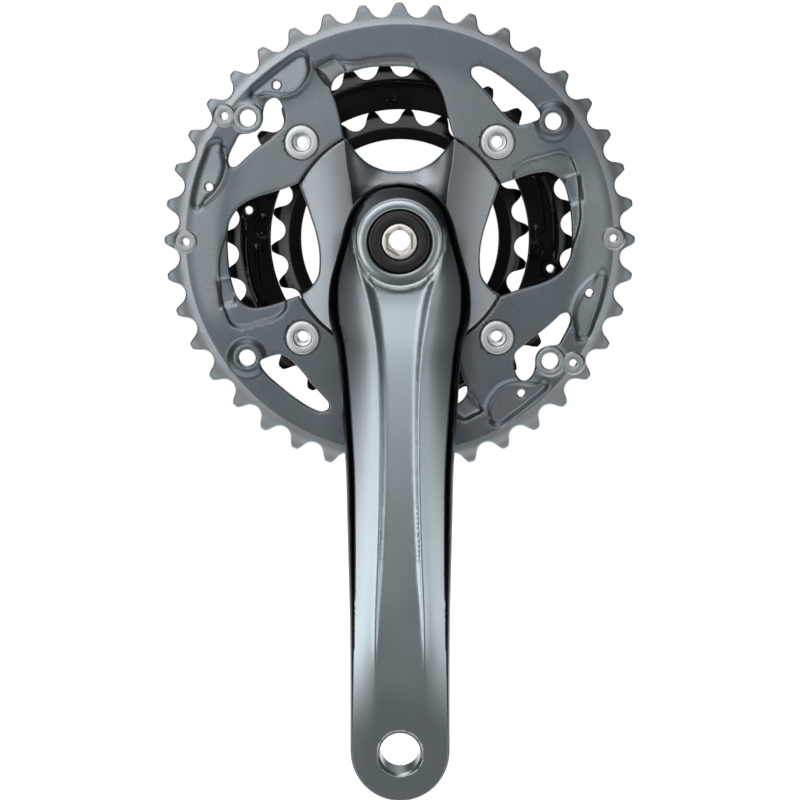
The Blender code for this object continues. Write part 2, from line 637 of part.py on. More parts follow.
def crank_bolt():
    """The hollow crank bolt: a head that shows through the cap, a flange that the cap holds, and a shank."""
    top = CAP_FACE - BOLT_HEAD_INSET
    over = BOLT_UNDERSIDE + BOLT_FLANGE_THICKNESS
    tip = BOLT_UNDERSIDE - BOLT_SHANK_LENGTH
    profile = [
        (BOLT_BORE_RADIUS, top),
        (BOLT_HEAD_RADIUS - 0.5, top),
        (BOLT_HEAD_RADIUS, top - 0.5),
        (BOLT_HEAD_RADIUS, over),
        (BOLT_FLANGE_RADIUS, over),
        (BOLT_FLANGE_RADIUS, BOLT_UNDERSIDE),
        (BOLT_SHANK_RADIUS, BOLT_UNDERSIDE),
        (BOLT_SHANK_RADIUS, tip + 0.8),
        (BOLT_SHANK_RADIUS - 0.8, tip),
        (BOLT_BORE_RADIUS, tip),
    ]
    bolt = turned("crank_bolt", profile, PIECES, 28)
    corner = HEX_ACROSS_FLATS / 2 / math.cos(math.radians(30))
    key = cylinder("hex_key", corner, top - HEX_DEPTH, top + 1, CUTTERS, vertices=6)
    return finish(combine(bolt, "DIFFERENCE", [key]), BRIGHT_STEEL)


def bolt_washer():
    """Washer between the crank bolt's flange and the shoulder."""
    back = SHOULDER + FIT_GAP
    bore = BOLT_SHANK_RADIUS + RUNNING_GAP
    profile = [
        (bore, back + WASHER_THICKNESS),
        (WASHER_RADIUS, back + WASHER_THICKNESS),
        (WASHER_RADIUS, back),
        (bore, back),
    ]
    return finish(turned("bolt_washer", profile, PIECES, 24), BLACK_STEEL)


def extractor_cap():
    """Threaded ring over the bolt's flange. The bolt pushes against it to draw the arm off its spindle."""
    outside = CAP_THREAD_RADIUS - FIT_GAP
    bore = BOLT_HEAD_RADIUS + RUNNING_GAP
    back = BOLT_UNDERSIDE + BOLT_FLANGE_THICKNESS + RUNNING_GAP
    profile = [
        (bore, CAP_FACE),
        (outside - 0.4, CAP_FACE),
        (outside, CAP_FACE - 0.4),
        (outside, back),
        (bore, back),
    ]
    return finish(turned("extractor_cap", profile, PIECES, 32), BLACK_RESIN)


def chain_drop_pin():
    """Pin behind the arm that keeps a thrown chain from jamming between the arm and the outer ring."""
    back = OUTER_BACK + FIT_GAP
    top = OUTER_FACE + DROP_PIN_LENGTH
    made = cylinder("chain_drop_pin", DROP_PIN_RADIUS, back, top, PIECES, drop_pin_place(), 16)
    return finish(made, BRIGHT_STEEL)


# ---- assembly ------------------------------------------------------------------------------------
for old in list(bpy.data.objects):
    bpy.data.objects.remove(old)

PIECES = bpy.data.collections.new("bicycle_crankset")
CUTTERS = bpy.data.collections.new("cutters")
bpy.context.scene.collection.children.link(PIECES)
bpy.context.scene.collection.children.link(CUTTERS)
FRAME = bpy.data.objects.new("spindle_axis", None)
PIECES.objects.link(FRAME)
FRAME.rotation_euler = (math.radians(90), 0, 0)


def main():
    """Builds every piece of the crankset."""
    crank_arm()
    crank_bolt()
    bolt_washer()
    extractor_cap()
    outer_chainring()
    small_chainring(
        "middle_chainring", MIDDLE_TEETH, MIDDLE_PHASE, MIDDLE_PLANE, MIDDLE_WEB, MIDDLE_BAND,
        BOLT_CIRCLE, NUT_SLEEVE_RADIUS + FIT_GAP,
    )
    small_chainring(
        "inner_chainring", INNER_TEETH, INNER_PHASE, INNER_PLANE, INNER_WEB, INNER_BAND,
        INNER_BOLT_CIRCLE, INNER_BOLT_RADIUS + FIT_GAP,
    )
    for i, angle in enumerate(LEG_ANGLES, 1):
        chainring_bolt(f"chainring_bolt_{i}", polar(BOLT_CIRCLE / 2, angle))
        chainring_nut(f"chainring_nut_{i}", polar(BOLT_CIRCLE / 2, angle))
        inner_ring_bolt(f"inner_ring_bolt_{i}", polar(INNER_BOLT_CIRCLE / 2, angle))
    outer_root, middle_root = root_radius(OUTER_TEETH), root_radius(MIDDLE_TEETH)
    for half, turn in enumerate((0, 180)):
        for i, (depth, angle) in enumerate(PIN_PLACES, 1 + len(PIN_PLACES) * half):
            place = polar(outer_root - depth, angle + turn)
            shift_pin(f"outer_shift_pin_{i}", place, OUTER_BACK, OUTER_FACE - FIT_GAP)
        depth, angle = MIDDLE_PIN_PLACE
        place = polar(middle_root - depth, angle + turn)
        shift_pin(f"middle_shift_pin_{half + 1}", place, MIDDLE_BACK, MIDDLE_FACE + FIT_GAP)
    chain_drop_pin()


main()
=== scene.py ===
"""Looks of a drive-side triple bicycle crankset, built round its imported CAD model.

Outlines are drawn face on, in millimetres: x to the right, z up, and h outboard from the spindle seat, along -Y.
"""

import logging
import math
from collections.abc import Callable, Iterable, Sequence
from dataclasses import dataclass, field
from enum import Enum

import bmesh
import bpy
import numpy as np
from mathutils import Euler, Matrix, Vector
from mathutils.geometry import delaunay_2d_cdt
from mathutils.kdtree import KDTree


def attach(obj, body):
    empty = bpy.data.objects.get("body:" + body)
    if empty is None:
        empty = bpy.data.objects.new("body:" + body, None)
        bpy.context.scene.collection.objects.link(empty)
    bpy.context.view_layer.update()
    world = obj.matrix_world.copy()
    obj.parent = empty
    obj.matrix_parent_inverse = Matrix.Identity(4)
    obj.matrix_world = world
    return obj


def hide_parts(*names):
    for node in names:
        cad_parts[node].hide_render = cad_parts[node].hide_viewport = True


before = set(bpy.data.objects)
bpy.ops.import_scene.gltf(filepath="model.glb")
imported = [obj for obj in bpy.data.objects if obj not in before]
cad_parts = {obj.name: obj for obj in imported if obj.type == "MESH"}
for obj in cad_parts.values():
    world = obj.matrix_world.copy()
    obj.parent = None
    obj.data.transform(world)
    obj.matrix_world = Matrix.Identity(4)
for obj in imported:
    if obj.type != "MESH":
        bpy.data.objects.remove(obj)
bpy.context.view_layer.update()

logging.basicConfig(level=logging.INFO, format="%(message)s")
LOG = logging.getLogger("crankset")

MM = 0.001
WELD = 0.002  # mm: points this close are one
BODY = "crank"
BOLT_BODY = "bolt"
CHAIN_PITCH = 12.7
LEG_ANGLES = (45.0, 135.0, 225.0, 315.0)
BOLT_CIRCLE_RADIUS = 48.0
INNER_BOLT_CIRCLE_RADIUS = 32.0
PEDAL_AXIS = (0.0, -175.0)
PIN_RADIUS = 2.2
PIN_BORE = 1.35

Array = np.ndarray
Field = Callable[[Array, Array], Array]


# ---- outlines ----------------------------------------------------------------------------------------------
def polar(radius: float | Array, degrees: float | Array) -> Array:
    """Points at this radius and angle about the spindle axis.

    Args:
        radius: distance from the axis, mm.
        degrees: angle from +x, counterclockwise seen from outboard.

    Returns:
        The point, or an (n, 2) array of points.
    """
    angle = np.radians(degrees)
    return np.stack([radius * np.cos(angle), radius * np.sin(angle)], axis=-1)


def circle(centre: Sequence[float], radius: float, step: float = 0.7) -> Array:
    """A round outline about centre, its points about step apart."""
    count = max(16, int(2 * math.pi * radius / step))
    return np.asarray(centre) + polar(radius, np.arange(count) * 360 / count)


def arc(radius: float, start: float, end: float, step: float = 0.8) -> Array:
    """Points along an arc about the spindle axis, both ends included."""
    count = max(2, int(abs(math.radians(end - start)) * radius / step))
    return polar(radius, np.linspace(start, end, count))


def spline(points: Sequence[Sequence[float]], closed: bool, step: float = 0.7) -> Array:
    """A smooth curve through the points.

    Args:
        points: the points it passes through, mm.
        closed: whether it returns to its first point.
        step: about how far apart the resulting points are, mm.

    Returns:
        Points along a centripetal Catmull-Rom curve.
    """
    knots = np.asarray(points, float)
    if closed:
        padded = np.vstack([knots[-1], knots, knots[:2]])
    else:
        padded = np.vstack([2 * knots[0] - knots[1], knots, 2 * knots[-1] - knots[-2]])
    made = []
    for p0, p1, p2, p3 in zip(padded, padded[1:], padded[2:], padded[3:]):
        t1 = np.linalg.norm(p1 - p0) ** 0.5
        t2 = t1 + np.linalg.norm(p2 - p1) ** 0.5
        t3 = t2 + np.linalg.norm(p3 - p2) ** 0.5
        count = max(1, round(np.linalg.norm(p2 - p1) / step))
        t = (t1 + (t2 - t1) * np.arange(count) / count)[:, None]
        a1 = (t1 - t) / t1 * p0 + t / t1 * p1
        a2 = (t2 - t) / (t2 - t1) * p1 + (t - t1) / (t2 - t1) * p2
        a3 = (t3 - t) / (t3 - t2) * p2 + (t - t2) / (t3 - t2) * p3
        b1 = (t2 - t) / t2 * a1 + t / t2 * a2
        b2 = (t3 - t) / (t3 - t1) * a2 + (t - t1) / (t3 - t1) * a3
        made.append((t2 - t) / (t2 - t1) * b1 + (t - t1) / (t2 - t1) * b2)
    if not closed:
        made.append(knots[-1:])
    return np.vstack(made)


def inside(points: Array, loop: Array) -> Array:
    """Which of the points lie inside the closed loop."""
    found = np.zeros(len(points), bool)
    for (ax, az), (bx, bz) in zip(loop, np.roll(loop, -1, axis=0)):
        crosses = (az > points[:, 1]) != (bz > points[:, 1])
        if az != bz:
            found ^= crosses & (points[:, 0] < (bx - ax) * (points[:, 1] - az) / (bz - az) + ax)
    return found


def distance(points: Array, loop: Array, closed: bool = True) -> Array:
    """How far each point is from the line through loop's points."""
    nearest = np.full(len(points), np.inf)
    ends = np.roll(loop, -1, axis=0) if closed else loop[1:]
    for a, b in zip(loop, ends):
        run = b - a
        t = np.clip(((points - a) @ run) / max(run @ run, 1e-12), 0, 1)[:, None]
        nearest = np.minimum(nearest, np.linalg.norm(points - a - t * run, axis=1))
    return nearest


def depth_inside(points: Array, loop: Array) -> Array:
    """How far inside the loop each point is, and negative outside it."""
    return np.where(inside(points, loop), 1, -1) * distance(points, loop)


def from_centre(points: Array, centre: Sequence[float]) -> Array:
    """How far each point is from centre."""
    return np.linalg.norm(points - np.asarray(centre), axis=1)


def ramp(value: Array, low: float, high: float) -> Array:
    """A smooth rise from 0 at low to 1 at high."""
    t = np.clip((value - low) / (high - low), 0, 1)
    return t * t * (3 - 2 * t)


def rounding(depth: Array, radius: float) -> Array:
    """How far a rounded edge of this radius has dropped, this deep inside the outline."""
    reach = np.clip(radius - depth, 0, radius)
    return radius - np.sqrt(np.maximum(radius**2 - reach**2, 0))


# ---- shells ------------------------------------------------------------------------------------------------
@dataclass
class Shell:
    """A mesh in the making.

    Attributes:
        points: (n, 3) array of (x, z, h) in mm.
        faces: corner indices, counterclockwise seen from outside.
        edge: for each point, 1 on a worn outer edge and 0 away from one.
        zone: for each point, 1 where the surface takes its finish's second colour.
    """

    points: Array
    faces: list[tuple[int, ...]]
    edge: Array
    zone: Array

    def joined(self, other: "Shell") -> "Shell":
        """This shell and another in one."""
        offset = len(self.points)
        moved = [tuple(i + offset for i in face) for face in other.faces]
        return Shell(
            np.vstack([self.points, other.points]),
            self.faces + moved,
            np.concatenate([self.edge, other.edge]),
            np.concatenate([self.zone, other.zone]),
        )

    def mesh(self, name: str) -> bpy.types.Mesh:
        """The shell as a Blender mesh, its coincident points welded.

        Args:
            name: the mesh's name.

        Returns:
            The mesh, in metres, with its two point attributes.
        """
        made = bpy.data.meshes.new(name)
        x, z, h = self.points.T
        made.from_pydata((np.stack([x, -h, z], axis=1) * MM).tolist(), [], self.faces)
        for label, values in (("edge", self.edge), ("zone", self.zone)):
            made.attributes.new(label, "FLOAT", "POINT").data.foreach_set("value", values.astype(np.float32))
        weld(made, normals=False)
        return made


def weld(mesh: bpy.types.Mesh, normals: bool) -> None:
    """Makes coincident points one, and on request turns the faces outwards."""
    shape = bmesh.new()
    shape.from_mesh(mesh)
    bmesh.ops.remove_doubles(shape, verts=shape.verts, dist=WELD * MM)
    if normals:
        bmesh.ops.recalc_face_normals(shape, faces=shape.faces)
    shape.to_mesh(mesh)
    shape.free()


def offset(loop: Array, inward: float | Array) -> Array:
    """The closed counterclockwise loop moved inwards, and any loop to its left."""
    run = np.roll(loop, -1, axis=0) - np.roll(loop, 1, axis=0)
    left = np.stack([-run[:, 1], run[:, 0]], axis=1) / np.linalg.norm(run, axis=1)[:, None]
    return loop + left * np.reshape(inward, (-1, 1))


def oriented(loop: Array, positive: bool) -> Array:
    """The loop counterclockwise, or clockwise if positive is false."""
    x, z = loop.T
    area = np.sum(x * np.roll(z, -1) - np.roll(x, -1) * z)
    return loop if (area > 0) == positive else loop[::-1]


def tree_of(points: Array) -> KDTree:
    """A search tree over points of the plane."""
    tree = KDTree(len(points))
    for i, (x, z) in enumerate(points):
        tree.insert((x, z, 0), i)
    tree.balance()
    return tree


def nearest(tree: KDTree, points: Array) -> Array:
    """How far each point is from the nearest in the tree."""
    return np.array([tree.find((x, z, 0))[2] for x, z in points]) if len(points) else np.zeros(0)


@dataclass
class Relief:
    """A forged or pressed plate: an outline with holes, and a height field on each of its two faces.

    Attributes:
        outline: the outer edge.
        holes: the openings through it.
        front: height of the outboard face, from points and their depth inside the edge.
        back: height of the inboard face.
        grid: spacing of the mesh away from edges, mm.
        rims: depths of the rows of points that follow every edge, mm.
        marks: further points, which follow the lines in the relief.
        open_rim: whether the outer edge is left open, for a toothed rim to join it.
        zone: where the second colour lies, from points, their depth inside the edge and whether they are in front.
        wall_rows: rows of faces down the side walls.
        worn: whether its edges are rubbed bright.
    """

    outline: Array
    holes: list[Array]
    front: Field
    back: Field
    grid: float = 1.0
    rims: tuple[float, ...] = (0.1, 0.25, 0.5, 0.9)
    marks: list[Array] = field(default_factory=list)
    open_rim: bool = False
    zone: Callable[[Array, Array, bool], Array] | None = None
    wall_rows: int = 1
    worn: bool = True

    def shell(self) -> Shell:
        """Builds the plate.

        Returns:
            A closed shell, or one open at its outer edge where open_rim is set.
        """
        loops = [oriented(self.outline, True)] + [oriented(hole, False) for hole in self.holes]
        walled = loops[1:] if self.open_rim else loops
        dense = np.vstack([self._dense(loop) for loop in walled])
        edge_tree = tree_of(dense)
        fixed = np.vstack(loops)
        free = self._free_points(loops, edge_tree)
        plane = np.vstack([fixed, free])
        starts = np.cumsum([0] + [len(loop) for loop in loops])
        rings = [list(range(a, b)) for a, b in zip(starts, starts[1:])]
        areas = [rings[0]] + [ring[::-1] for ring in rings[1:]]
        verts, _, faces, origins, _, owners = delaunay_2d_cdt(
            [Vector(p) for p in plane.tolist()], [], areas, 1, 1e-5
        )
        flat = np.array([tuple(v) for v in verts])
        index = {source: i for i, sources in enumerate(origins) for source in sources}
        triangles = [tuple(f) for f, owner in zip(faces, owners) if owner == [0]]
        depth = nearest(edge_tree, flat)
        for ring in rings[1:] if self.open_rim else rings:
            for i in ring:
                depth[index[i]] = 0
        return self._solid(flat, triangles, depth, [[index[i] for i in ring] for ring in rings])

    @staticmethod
    def _dense(loop: Array) -> Array:
        """The loop with extra points between its own."""
        after = np.roll(loop, -1, axis=0)
        return np.vstack([loop + (after - loop) * t for t in (0, 0.25, 0.5, 0.75)])

    def _free_points(self, loops: list[Array], edge_tree: KDTree) -> Array:
        """The rows along each edge, the marks and the grid, none too close to another."""
        found = []
        for loop in loops[1:] if self.open_rim else loops:
            for k, rim in enumerate(self.rims):
                row = offset(loop, rim)[:: 1 if k < 3 else 2]
                found.append(row[nearest(edge_tree, row) > 0.92 * rim])
        marks = np.vstack(self.marks) if self.marks else np.zeros((0, 2))
        if len(marks):
            found.append(marks[nearest(edge_tree, marks) > 0.3])
        low, high = loops[0].min(axis=0), loops[0].max(axis=0)
        across = np.arange(low[0], high[0], self.grid)
        xs, zs = np.meshgrid(across, np.arange(low[1], high[1], self.grid * 0.866))
        xs[1::2] += self.grid / 2
        grid = np.column_stack([xs.ravel(), zs.ravel()])
        keep = inside(grid, loops[0])
        for loop in loops[1:]:
            keep &= ~inside(grid, loop)
        grid = grid[keep]
        taken = tree_of(np.vstack([*found, *loops]))
        found.append(grid[nearest(taken, grid) > 0.55 * self.grid])
        found = np.vstack(found)
        keep = inside(found, loops[0])
        return found[keep]

    def _solid(self, flat: Array, triangles: list, depth: Array, rings: list[list[int]]) -> Shell:
        """Two faces and the walls between them."""
        count = len(flat)
        heights = [self.front(flat, depth), self.back(flat, depth)]
        points = [np.column_stack([flat, h]) for h in heights]
        masks = [np.zeros(count)] * 2
        if self.zone:
            masks = [self.zone(flat, depth, side) for side in (True, False)]
        faces = triangles + [tuple(i + count for i in t[::-1]) for t in triangles]
        edge = [np.exp(-depth / 0.3) * self.worn] * 2
        total = 2 * count
        for ring in rings[1:] if self.open_rim else rings:
            levels = [ring]
            for row in range(1, self.wall_rows):
                share = row / self.wall_rows
                points.append(points[0][ring] * (1 - share) + points[1][ring] * share)
                masks.append(masks[0][ring])
                edge.append(np.zeros(len(ring)))
                levels.append(list(range(total, total + len(ring))))
                total += len(ring)
            levels.append([i + count for i in ring])
            for upper, lower in zip(levels, levels[1:]):
                for i in range(len(ring)):
                    j = (i + 1) % len(ring)
                    faces.append((upper[j], upper[i], lower[i], lower[j]))
        return Shell(np.vstack(points), faces, np.concatenate(edge), np.concatenate(masks))


def turned(
    profile: Sequence[tuple[float, float]],
    centre: Sequence[float] = (0.0, 0.0),
    segments: int = 48,
    bore: Callable[[Array], Array] | None = None,
    soften: float = 0.15,
) -> Shell:
    """A ring turned about a line along h.

    Args:
        profile: a closed section as (radius, h) corners, clockwise seen with h up.
        centre: where its axis is, mm.
        segments: how many steps it takes round.
        bore: radius of a shaped bore by angle in degrees, for corners whose radius is 0 or less; a corner's
            negative radius widens it.
        soften: how far each corner is cut back into a small round, mm.

    Returns:
        The closed shell.
    """
    section, worn = [], []
    corners = [np.array(p, float) for p in profile]
    for i, corner in enumerate(corners):
        before, after = corners[i - 1] - corner, corners[(i + 1) % len(corners)] - corner
        if corner[0] < 0.01 or min(np.linalg.norm(before), np.linalg.norm(after)) < 2.2 * soften:
            section.append(corner)
            worn.append(0.4)
            continue
        first = corner + before / np.linalg.norm(before) * soften
        last = corner + after / np.linalg.norm(after) * soften
        section += [first, (first + last + 2 * corner) / 4, last]
        worn += [0.3, 1.0, 0.3]
    angles = np.arange(segments) * 360 / segments
    rows = []
    for radius, h in section:
        radii = bore(angles) - radius if radius <= 0 and bore else np.full(segments, radius)
        rows.append(np.column_stack([polar(radii, angles) + np.asarray(centre), np.full(segments, h)]))
    faces = []
    for k in range(len(section)):
        low, high = k * segments, (k + 1) % len(section) * segments
        for i in range(segments):
            j = (i + 1) % segments
            faces.append((low + i, high + i, high + j, low + j))
    return Shell(np.vstack(rows), faces, np.repeat(worn, segments), np.zeros(len(section) * segments))


# ---- repeats -----------------------------------------------------------------------------------------------
def add_node(
    tree: bpy.types.NodeTree, kind: str, settings: dict | None = None, links: dict | None = None
) -> bpy.types.Node:
    """Adds a node to a tree.

    Args:
        tree: the shader or geometry tree.
        kind: Blender's name for the node's type.
        settings: attributes to set; a key that names an input sets its value instead.
        links: input name or index to the output socket that feeds it.

    Returns:
        The node.
    """
    node = tree.nodes.new(kind)
    for key, value in (settings or {}).items():
        if isinstance(key, str) and hasattr(node, key) and key not in node.inputs:
            setattr(node, key, value)
        else:
            node.inputs[key].default_value = value
    for key, output in (links or {}).items():
        tree.links.new(output, node.inputs[key])
    return node


def polar_array_tree() -> bpy.types.NodeTree:
    """The geometry tree that repeats a piece evenly about the spindle axis, welds the copies and dresses them."""
    tree = bpy.data.node_groups.new("around_the_spindle", "GeometryNodeTree")
    for label, kind in (("Piece", "Geometry"), ("Copies", "Int"), ("First Angle", "Float"), ("Finish", "Material")):
        tree.interface.new_socket(label, in_out="INPUT", socket_type=f"NodeSocket{kind}")
    tree.interface.new_socket("Piece", in_out="OUTPUT", socket_type="NodeSocketGeometry")
    given = add_node(tree, "NodeGroupInput")
    points = add_node(tree, "GeometryNodePoints", links={"Count": given.outputs["Copies"]})
    index = add_node(tree, "GeometryNodeInputIndex")
    share = add_node(
        tree, "ShaderNodeMath", {"operation": "DIVIDE"}, {0: index.outputs[0], 1: given.outputs["Copies"]}
    )
    turn = add_node(tree, "ShaderNodeMath", {"operation": "MULTIPLY", 1: -2 * math.pi}, {0: share.outputs[0]})
    angle = add_node(
        tree, "ShaderNodeMath", {"operation": "SUBTRACT"}, {0: turn.outputs[0], 1: given.outputs["First Angle"]}
    )
    euler = add_node(tree, "ShaderNodeCombineXYZ", links={"Y": angle.outputs[0]})
    placed = add_node(
        tree,
        "GeometryNodeInstanceOnPoints",
        links={"Points": points.outputs[0], "Instance": given.outputs["Piece"], "Rotation": euler.outputs[0]},
    )
    solid = add_node(tree, "GeometryNodeRealizeInstances", links={"Geometry": placed.outputs[0]})
    welded = add_node(
        tree, "GeometryNodeMergeByDistance", {"Distance": WELD * MM}, {"Geometry": solid.outputs[0]}
    )
    dressed = add_node(
        tree,
        "GeometryNodeSetMaterial",
        links={"Geometry": welded.outputs[0], "Material": given.outputs["Finish"]},
    )
    add_node(tree, "NodeGroupOutput", links={0: dressed.outputs[0]})
    return tree


def place(name: str, mesh: bpy.types.Mesh) -> bpy.types.Object:
    """A new object at the origin that shows this mesh."""
    made = bpy.data.objects.new(name, mesh)
    bpy.context.scene.collection.objects.link(made)
    return made


def around(name: str, shell: Shell, copies: int, finish: bpy.types.Material, first: float = 0.0) -> bpy.types.Mesh:
    """Repeats a shell evenly about the spindle axis with geometry nodes.

    Args:
        name: name of the resulting mesh.
        shell: one copy, in its place.
        copies: how many there are in a full turn.
        finish: their material.
        first: how far the first copy is turned, degrees.

    Returns:
        A plain mesh.
    """
    source = place(name, shell.mesh(name))
    modifier = source.modifiers.new("around", "NODES")
    modifier.node_group = TREES["around"]
    inputs = {
        item.name: item.identifier
        for item in modifier.node_group.interface.items_tree
        if item.in_out == "INPUT"
    }
    modifier[inputs["Copies"]] = copies
    modifier[inputs["First Angle"]] = math.radians(first)
    modifier[inputs["Finish"]] = finish
    bpy.context.view_layer.update()
    graph = bpy.context.evaluated_depsgraph_get()
    mesh = bpy.data.meshes.new_from_object(source.evaluated_get(graph))
    bpy.data.objects.remove(source)
    mesh.name = name
    return mesh


# ---- finishes ----------------------------------------------------------------------------------------------
def linear(hexadecimal: str) -> tuple[float, float, float, float]:
    """An sRGB hex colour as linear values with an alpha of 1."""
    parts = [int(hexadecimal[i : i + 2], 16) / 255 for i in (1, 3, 5)]
    r, g, b = (c / 12.92 if c <= 0.04045 else ((c + 0.055) / 1.055) ** 2.4 for c in parts)
    return (r, g, b, 1.0)


class Process(Enum):
    """How a surface was made, which decides the pattern it carries."""

    BLASTED = "blasted"  # fine pits without direction
    TURNED = "turned"  # fine rings about each piece's own axis
    COATED = "coated"  # a smooth film with faint orange peel
    MOULDED = "moulded"  # an even fine grain


@dataclass(frozen=True)
class Finish:
    """A real material and the process that finished its surface.

    Attributes:
        name: common name of the material and its finish.
        colour: sRGB hex of the flat surface.
        worn: sRGB hex where an edge is rubbed bright.
        process: how the surface was made.
        metallic: 1 for bare metal.
        roughness: middle of its range.
        spread: how far the roughness varies about it.
        grain: size of the pattern, mm.
        height: depth of the pattern, mm.
        mottle: how much the colour varies over the piece.
        wear: how strongly edges take the worn colour.
        second: sRGB hex where the piece's zone attribute is 1, if it differs.
        coat: weight of a clear film over it.
        specular: strength of its mirror reflection; half is the usual one.
    """

    name: str
    colour: str
    worn: str
    process: Process
    metallic: float
    roughness: float
    spread: float = 0.05
    grain: float = 0.25
    height: float = 0.01
    mottle: float = 0.08
    wear: float = 0.4
    second: str | None = None
    coat: float = 0.0
    specular: float = 0.5

    def material(self) -> bpy.types.Material:
        """Builds the shader once.

        Returns:
            The material.
        """
        found = bpy.data.materials.get(self.name)
        if found:
            return found
        made = bpy.data.materials.new(self.name)
        made.use_nodes = True
        tree = made.node_tree
        shader = tree.nodes["Principled BSDF"]
        where = add_node(tree, "ShaderNodeTexCoord").outputs["Object"]
        grain = self._grain(tree, where)
        broad = add_node(
            tree, "ShaderNodeTexNoise", {"Scale": 1 / (18 * MM), "Detail": 3.0}, {"Vector": where}
        )
        colour = self._colour(tree, broad.outputs["Fac"], grain)
        rough = add_node(
            tree,
            "ShaderNodeMapRange",
            {"From Min": 0.3, "From Max": 0.7, "To Min": self.roughness - self.spread,
             "To Max": self.roughness + self.spread},
            {"Value": broad.outputs["Fac"]},
        )
        bump = add_node(
            tree, "ShaderNodeBump", {"Strength": 1.0, "Distance": self.height * MM}, {"Height": grain}
        )
        tree.links.new(colour, shader.inputs["Base Color"])
        tree.links.new(rough.outputs[0], shader.inputs["Roughness"])
        tree.links.new(bump.outputs[0], shader.inputs["Normal"])
        shader.inputs["Metallic"].default_value = self.metallic
        shader.inputs["Coat Weight"].default_value = self.coat
        shader.inputs["Coat Roughness"].default_value = 0.12
        shader.inputs["Specular IOR Level"].default_value = self.specular
        return made

    def _grain(self, tree: bpy.types.NodeTree, where: bpy.types.NodeSocket) -> bpy.types.NodeSocket:
        """The fine pattern that the process leaves, 0 to 1."""
        scale = 1 / (self.grain * MM)
        if self.process is Process.TURNED:
            stretched = add_node(
                tree, "ShaderNodeMapping", {"Scale": (scale, scale * 0.12, scale)}, {"Vector": where}
            )
            return add_node(
                tree, "ShaderNodeTexNoise", {"Scale": 1.0, "Detail": 2.0}, {"Vector": stretched.outputs[0]}
            ).outputs["Fac"]
        if self.process is Process.COATED:
            return add_node(
                tree, "ShaderNodeTexVoronoi", {"Scale": scale, "feature": "SMOOTH_F1"}, {"Vector": where}
            ).outputs["Distance"]
        return add_node(
            tree, "ShaderNodeTexNoise", {"Scale": scale, "Detail": 2.5, "Roughness": 0.6}, {"Vector": where}
        ).outputs["Fac"]

    def _colour(
        self, tree: bpy.types.NodeTree, broad: bpy.types.NodeSocket, grain: bpy.types.NodeSocket
    ) -> bpy.types.NodeSocket:
        """The colour: the zone's or the first one, mottled by the grain and brighter on worn edges."""
        mixed = linear(self.colour)
        if self.second:
            zone = add_node(tree, "ShaderNodeAttribute", {"attribute_name": "zone"}).outputs["Fac"]
            mixed = self._mix(tree, zone, mixed, linear(self.second))
        edge = add_node(tree, "ShaderNodeAttribute", {"attribute_name": "edge"}).outputs["Fac"]
        rubbed = add_node(tree, "ShaderNodeMath", {"operation": "MULTIPLY", 1: self.wear}, {0: edge})
        mixed = self._mix(tree, rubbed.outputs[0], mixed, linear(self.worn))
        half = add_node(tree, "ShaderNodeMath", {"operation": "MULTIPLY", 1: 0.3}, {0: broad})
        both = add_node(
            tree, "ShaderNodeMath", {"operation": "MULTIPLY_ADD", 1: 0.7}, {0: grain, 2: half.outputs[0]}
        )
        shade = add_node(
            tree,
            "ShaderNodeMapRange",
            {"From Min": 0.35, "From Max": 0.65, "To Min": 1 - self.mottle, "To Max": 1 + self.mottle},
            {"Value": both.outputs[0]},
        )
        mottled = add_node(tree, "ShaderNodeVectorMath", {"operation": "SCALE"}, {"Scale": shade.outputs[0]})
        tree.links.new(mixed, mottled.inputs[0])
        return mottled.outputs[0]

    @staticmethod
    def _mix(tree: bpy.types.NodeTree, share: bpy.types.NodeSocket, first: object, second: object) -> object:
        """A colour between two others, each a value or a socket."""
        node = add_node(tree, "ShaderNodeMix", {"data_type": "RGBA"}, {0: share})
        for key, value in ((6, first), (7, second)):
            if isinstance(value, tuple):
                node.inputs[key].default_value = value
            else:
                tree.links.new(value, node.inputs[key])
        return node.outputs[2]


# Satin anodised forging: soft broad highlights. Its near-black second colour is painted shade on the arm's sides and
# head slope.
FORGED = Finish(
    "satin_anodised_forged_aluminium", "#98a2a6", "#cdd3d5", Process.BLASTED, 1.0, 0.29, 0.01,
    grain=0.3, height=0.002, mottle=0.03, wear=0.25, second="#0b0c0e",
)
# Legs of the same forging, painted a shade darker than the arm to tone down their lit facets: painted shade.
LEGS = Finish(
    "anodised_forged_aluminium_painted_shade", "#83898d", "#a8aeb1", Process.BLASTED, 1.0, 0.30, 0.01,
    grain=0.3, height=0.002, mottle=0.03, wear=0.2, second="#0b0c0e",
)
# Bead-blasted and anodised plate: a matt mid grey that sparkles a little. Its second colour is the teeth's, and on
# the big ring's face it is also painted highlight.
PRESSED = Finish(
    "bead_blasted_anodised_aluminium_plate", "#6a7277", "#9aa1a5", Process.BLASTED, 1.0, 0.40, 0.03,
    grain=0.5, height=0.012, mottle=0.13, wear=0.3, second="#9ea5a9",
)
# Teeth of the same plate, lighter where they are machined.
TEETH = Finish(
    "machined_anodised_aluminium_teeth", "#9ea5a9", "#c4cacd", Process.BLASTED, 1.0, 0.42, 0.03,
    grain=0.5, height=0.01, mottle=0.1, wear=0.05,
)
# Electrocoated steel: glossy black with faint orange peel.
COATED = Finish(
    "electrocoated_pressed_steel", "#020203", "#1c1d1f", Process.COATED, 0.0, 0.16, 0.03,
    grain=0.8, height=0.004, mottle=0.1, wear=0.25, specular=0.3,
)
# Zinc-plated turned steel: bright satin with fine tool marks.
PLATED = Finish(
    "zinc_plated_turned_steel", "#c8cdcf", "#e2e5e6", Process.TURNED, 1.0, 0.38, 0.04,
    grain=0.25, height=0.004, mottle=0.06, wear=0.15,
)
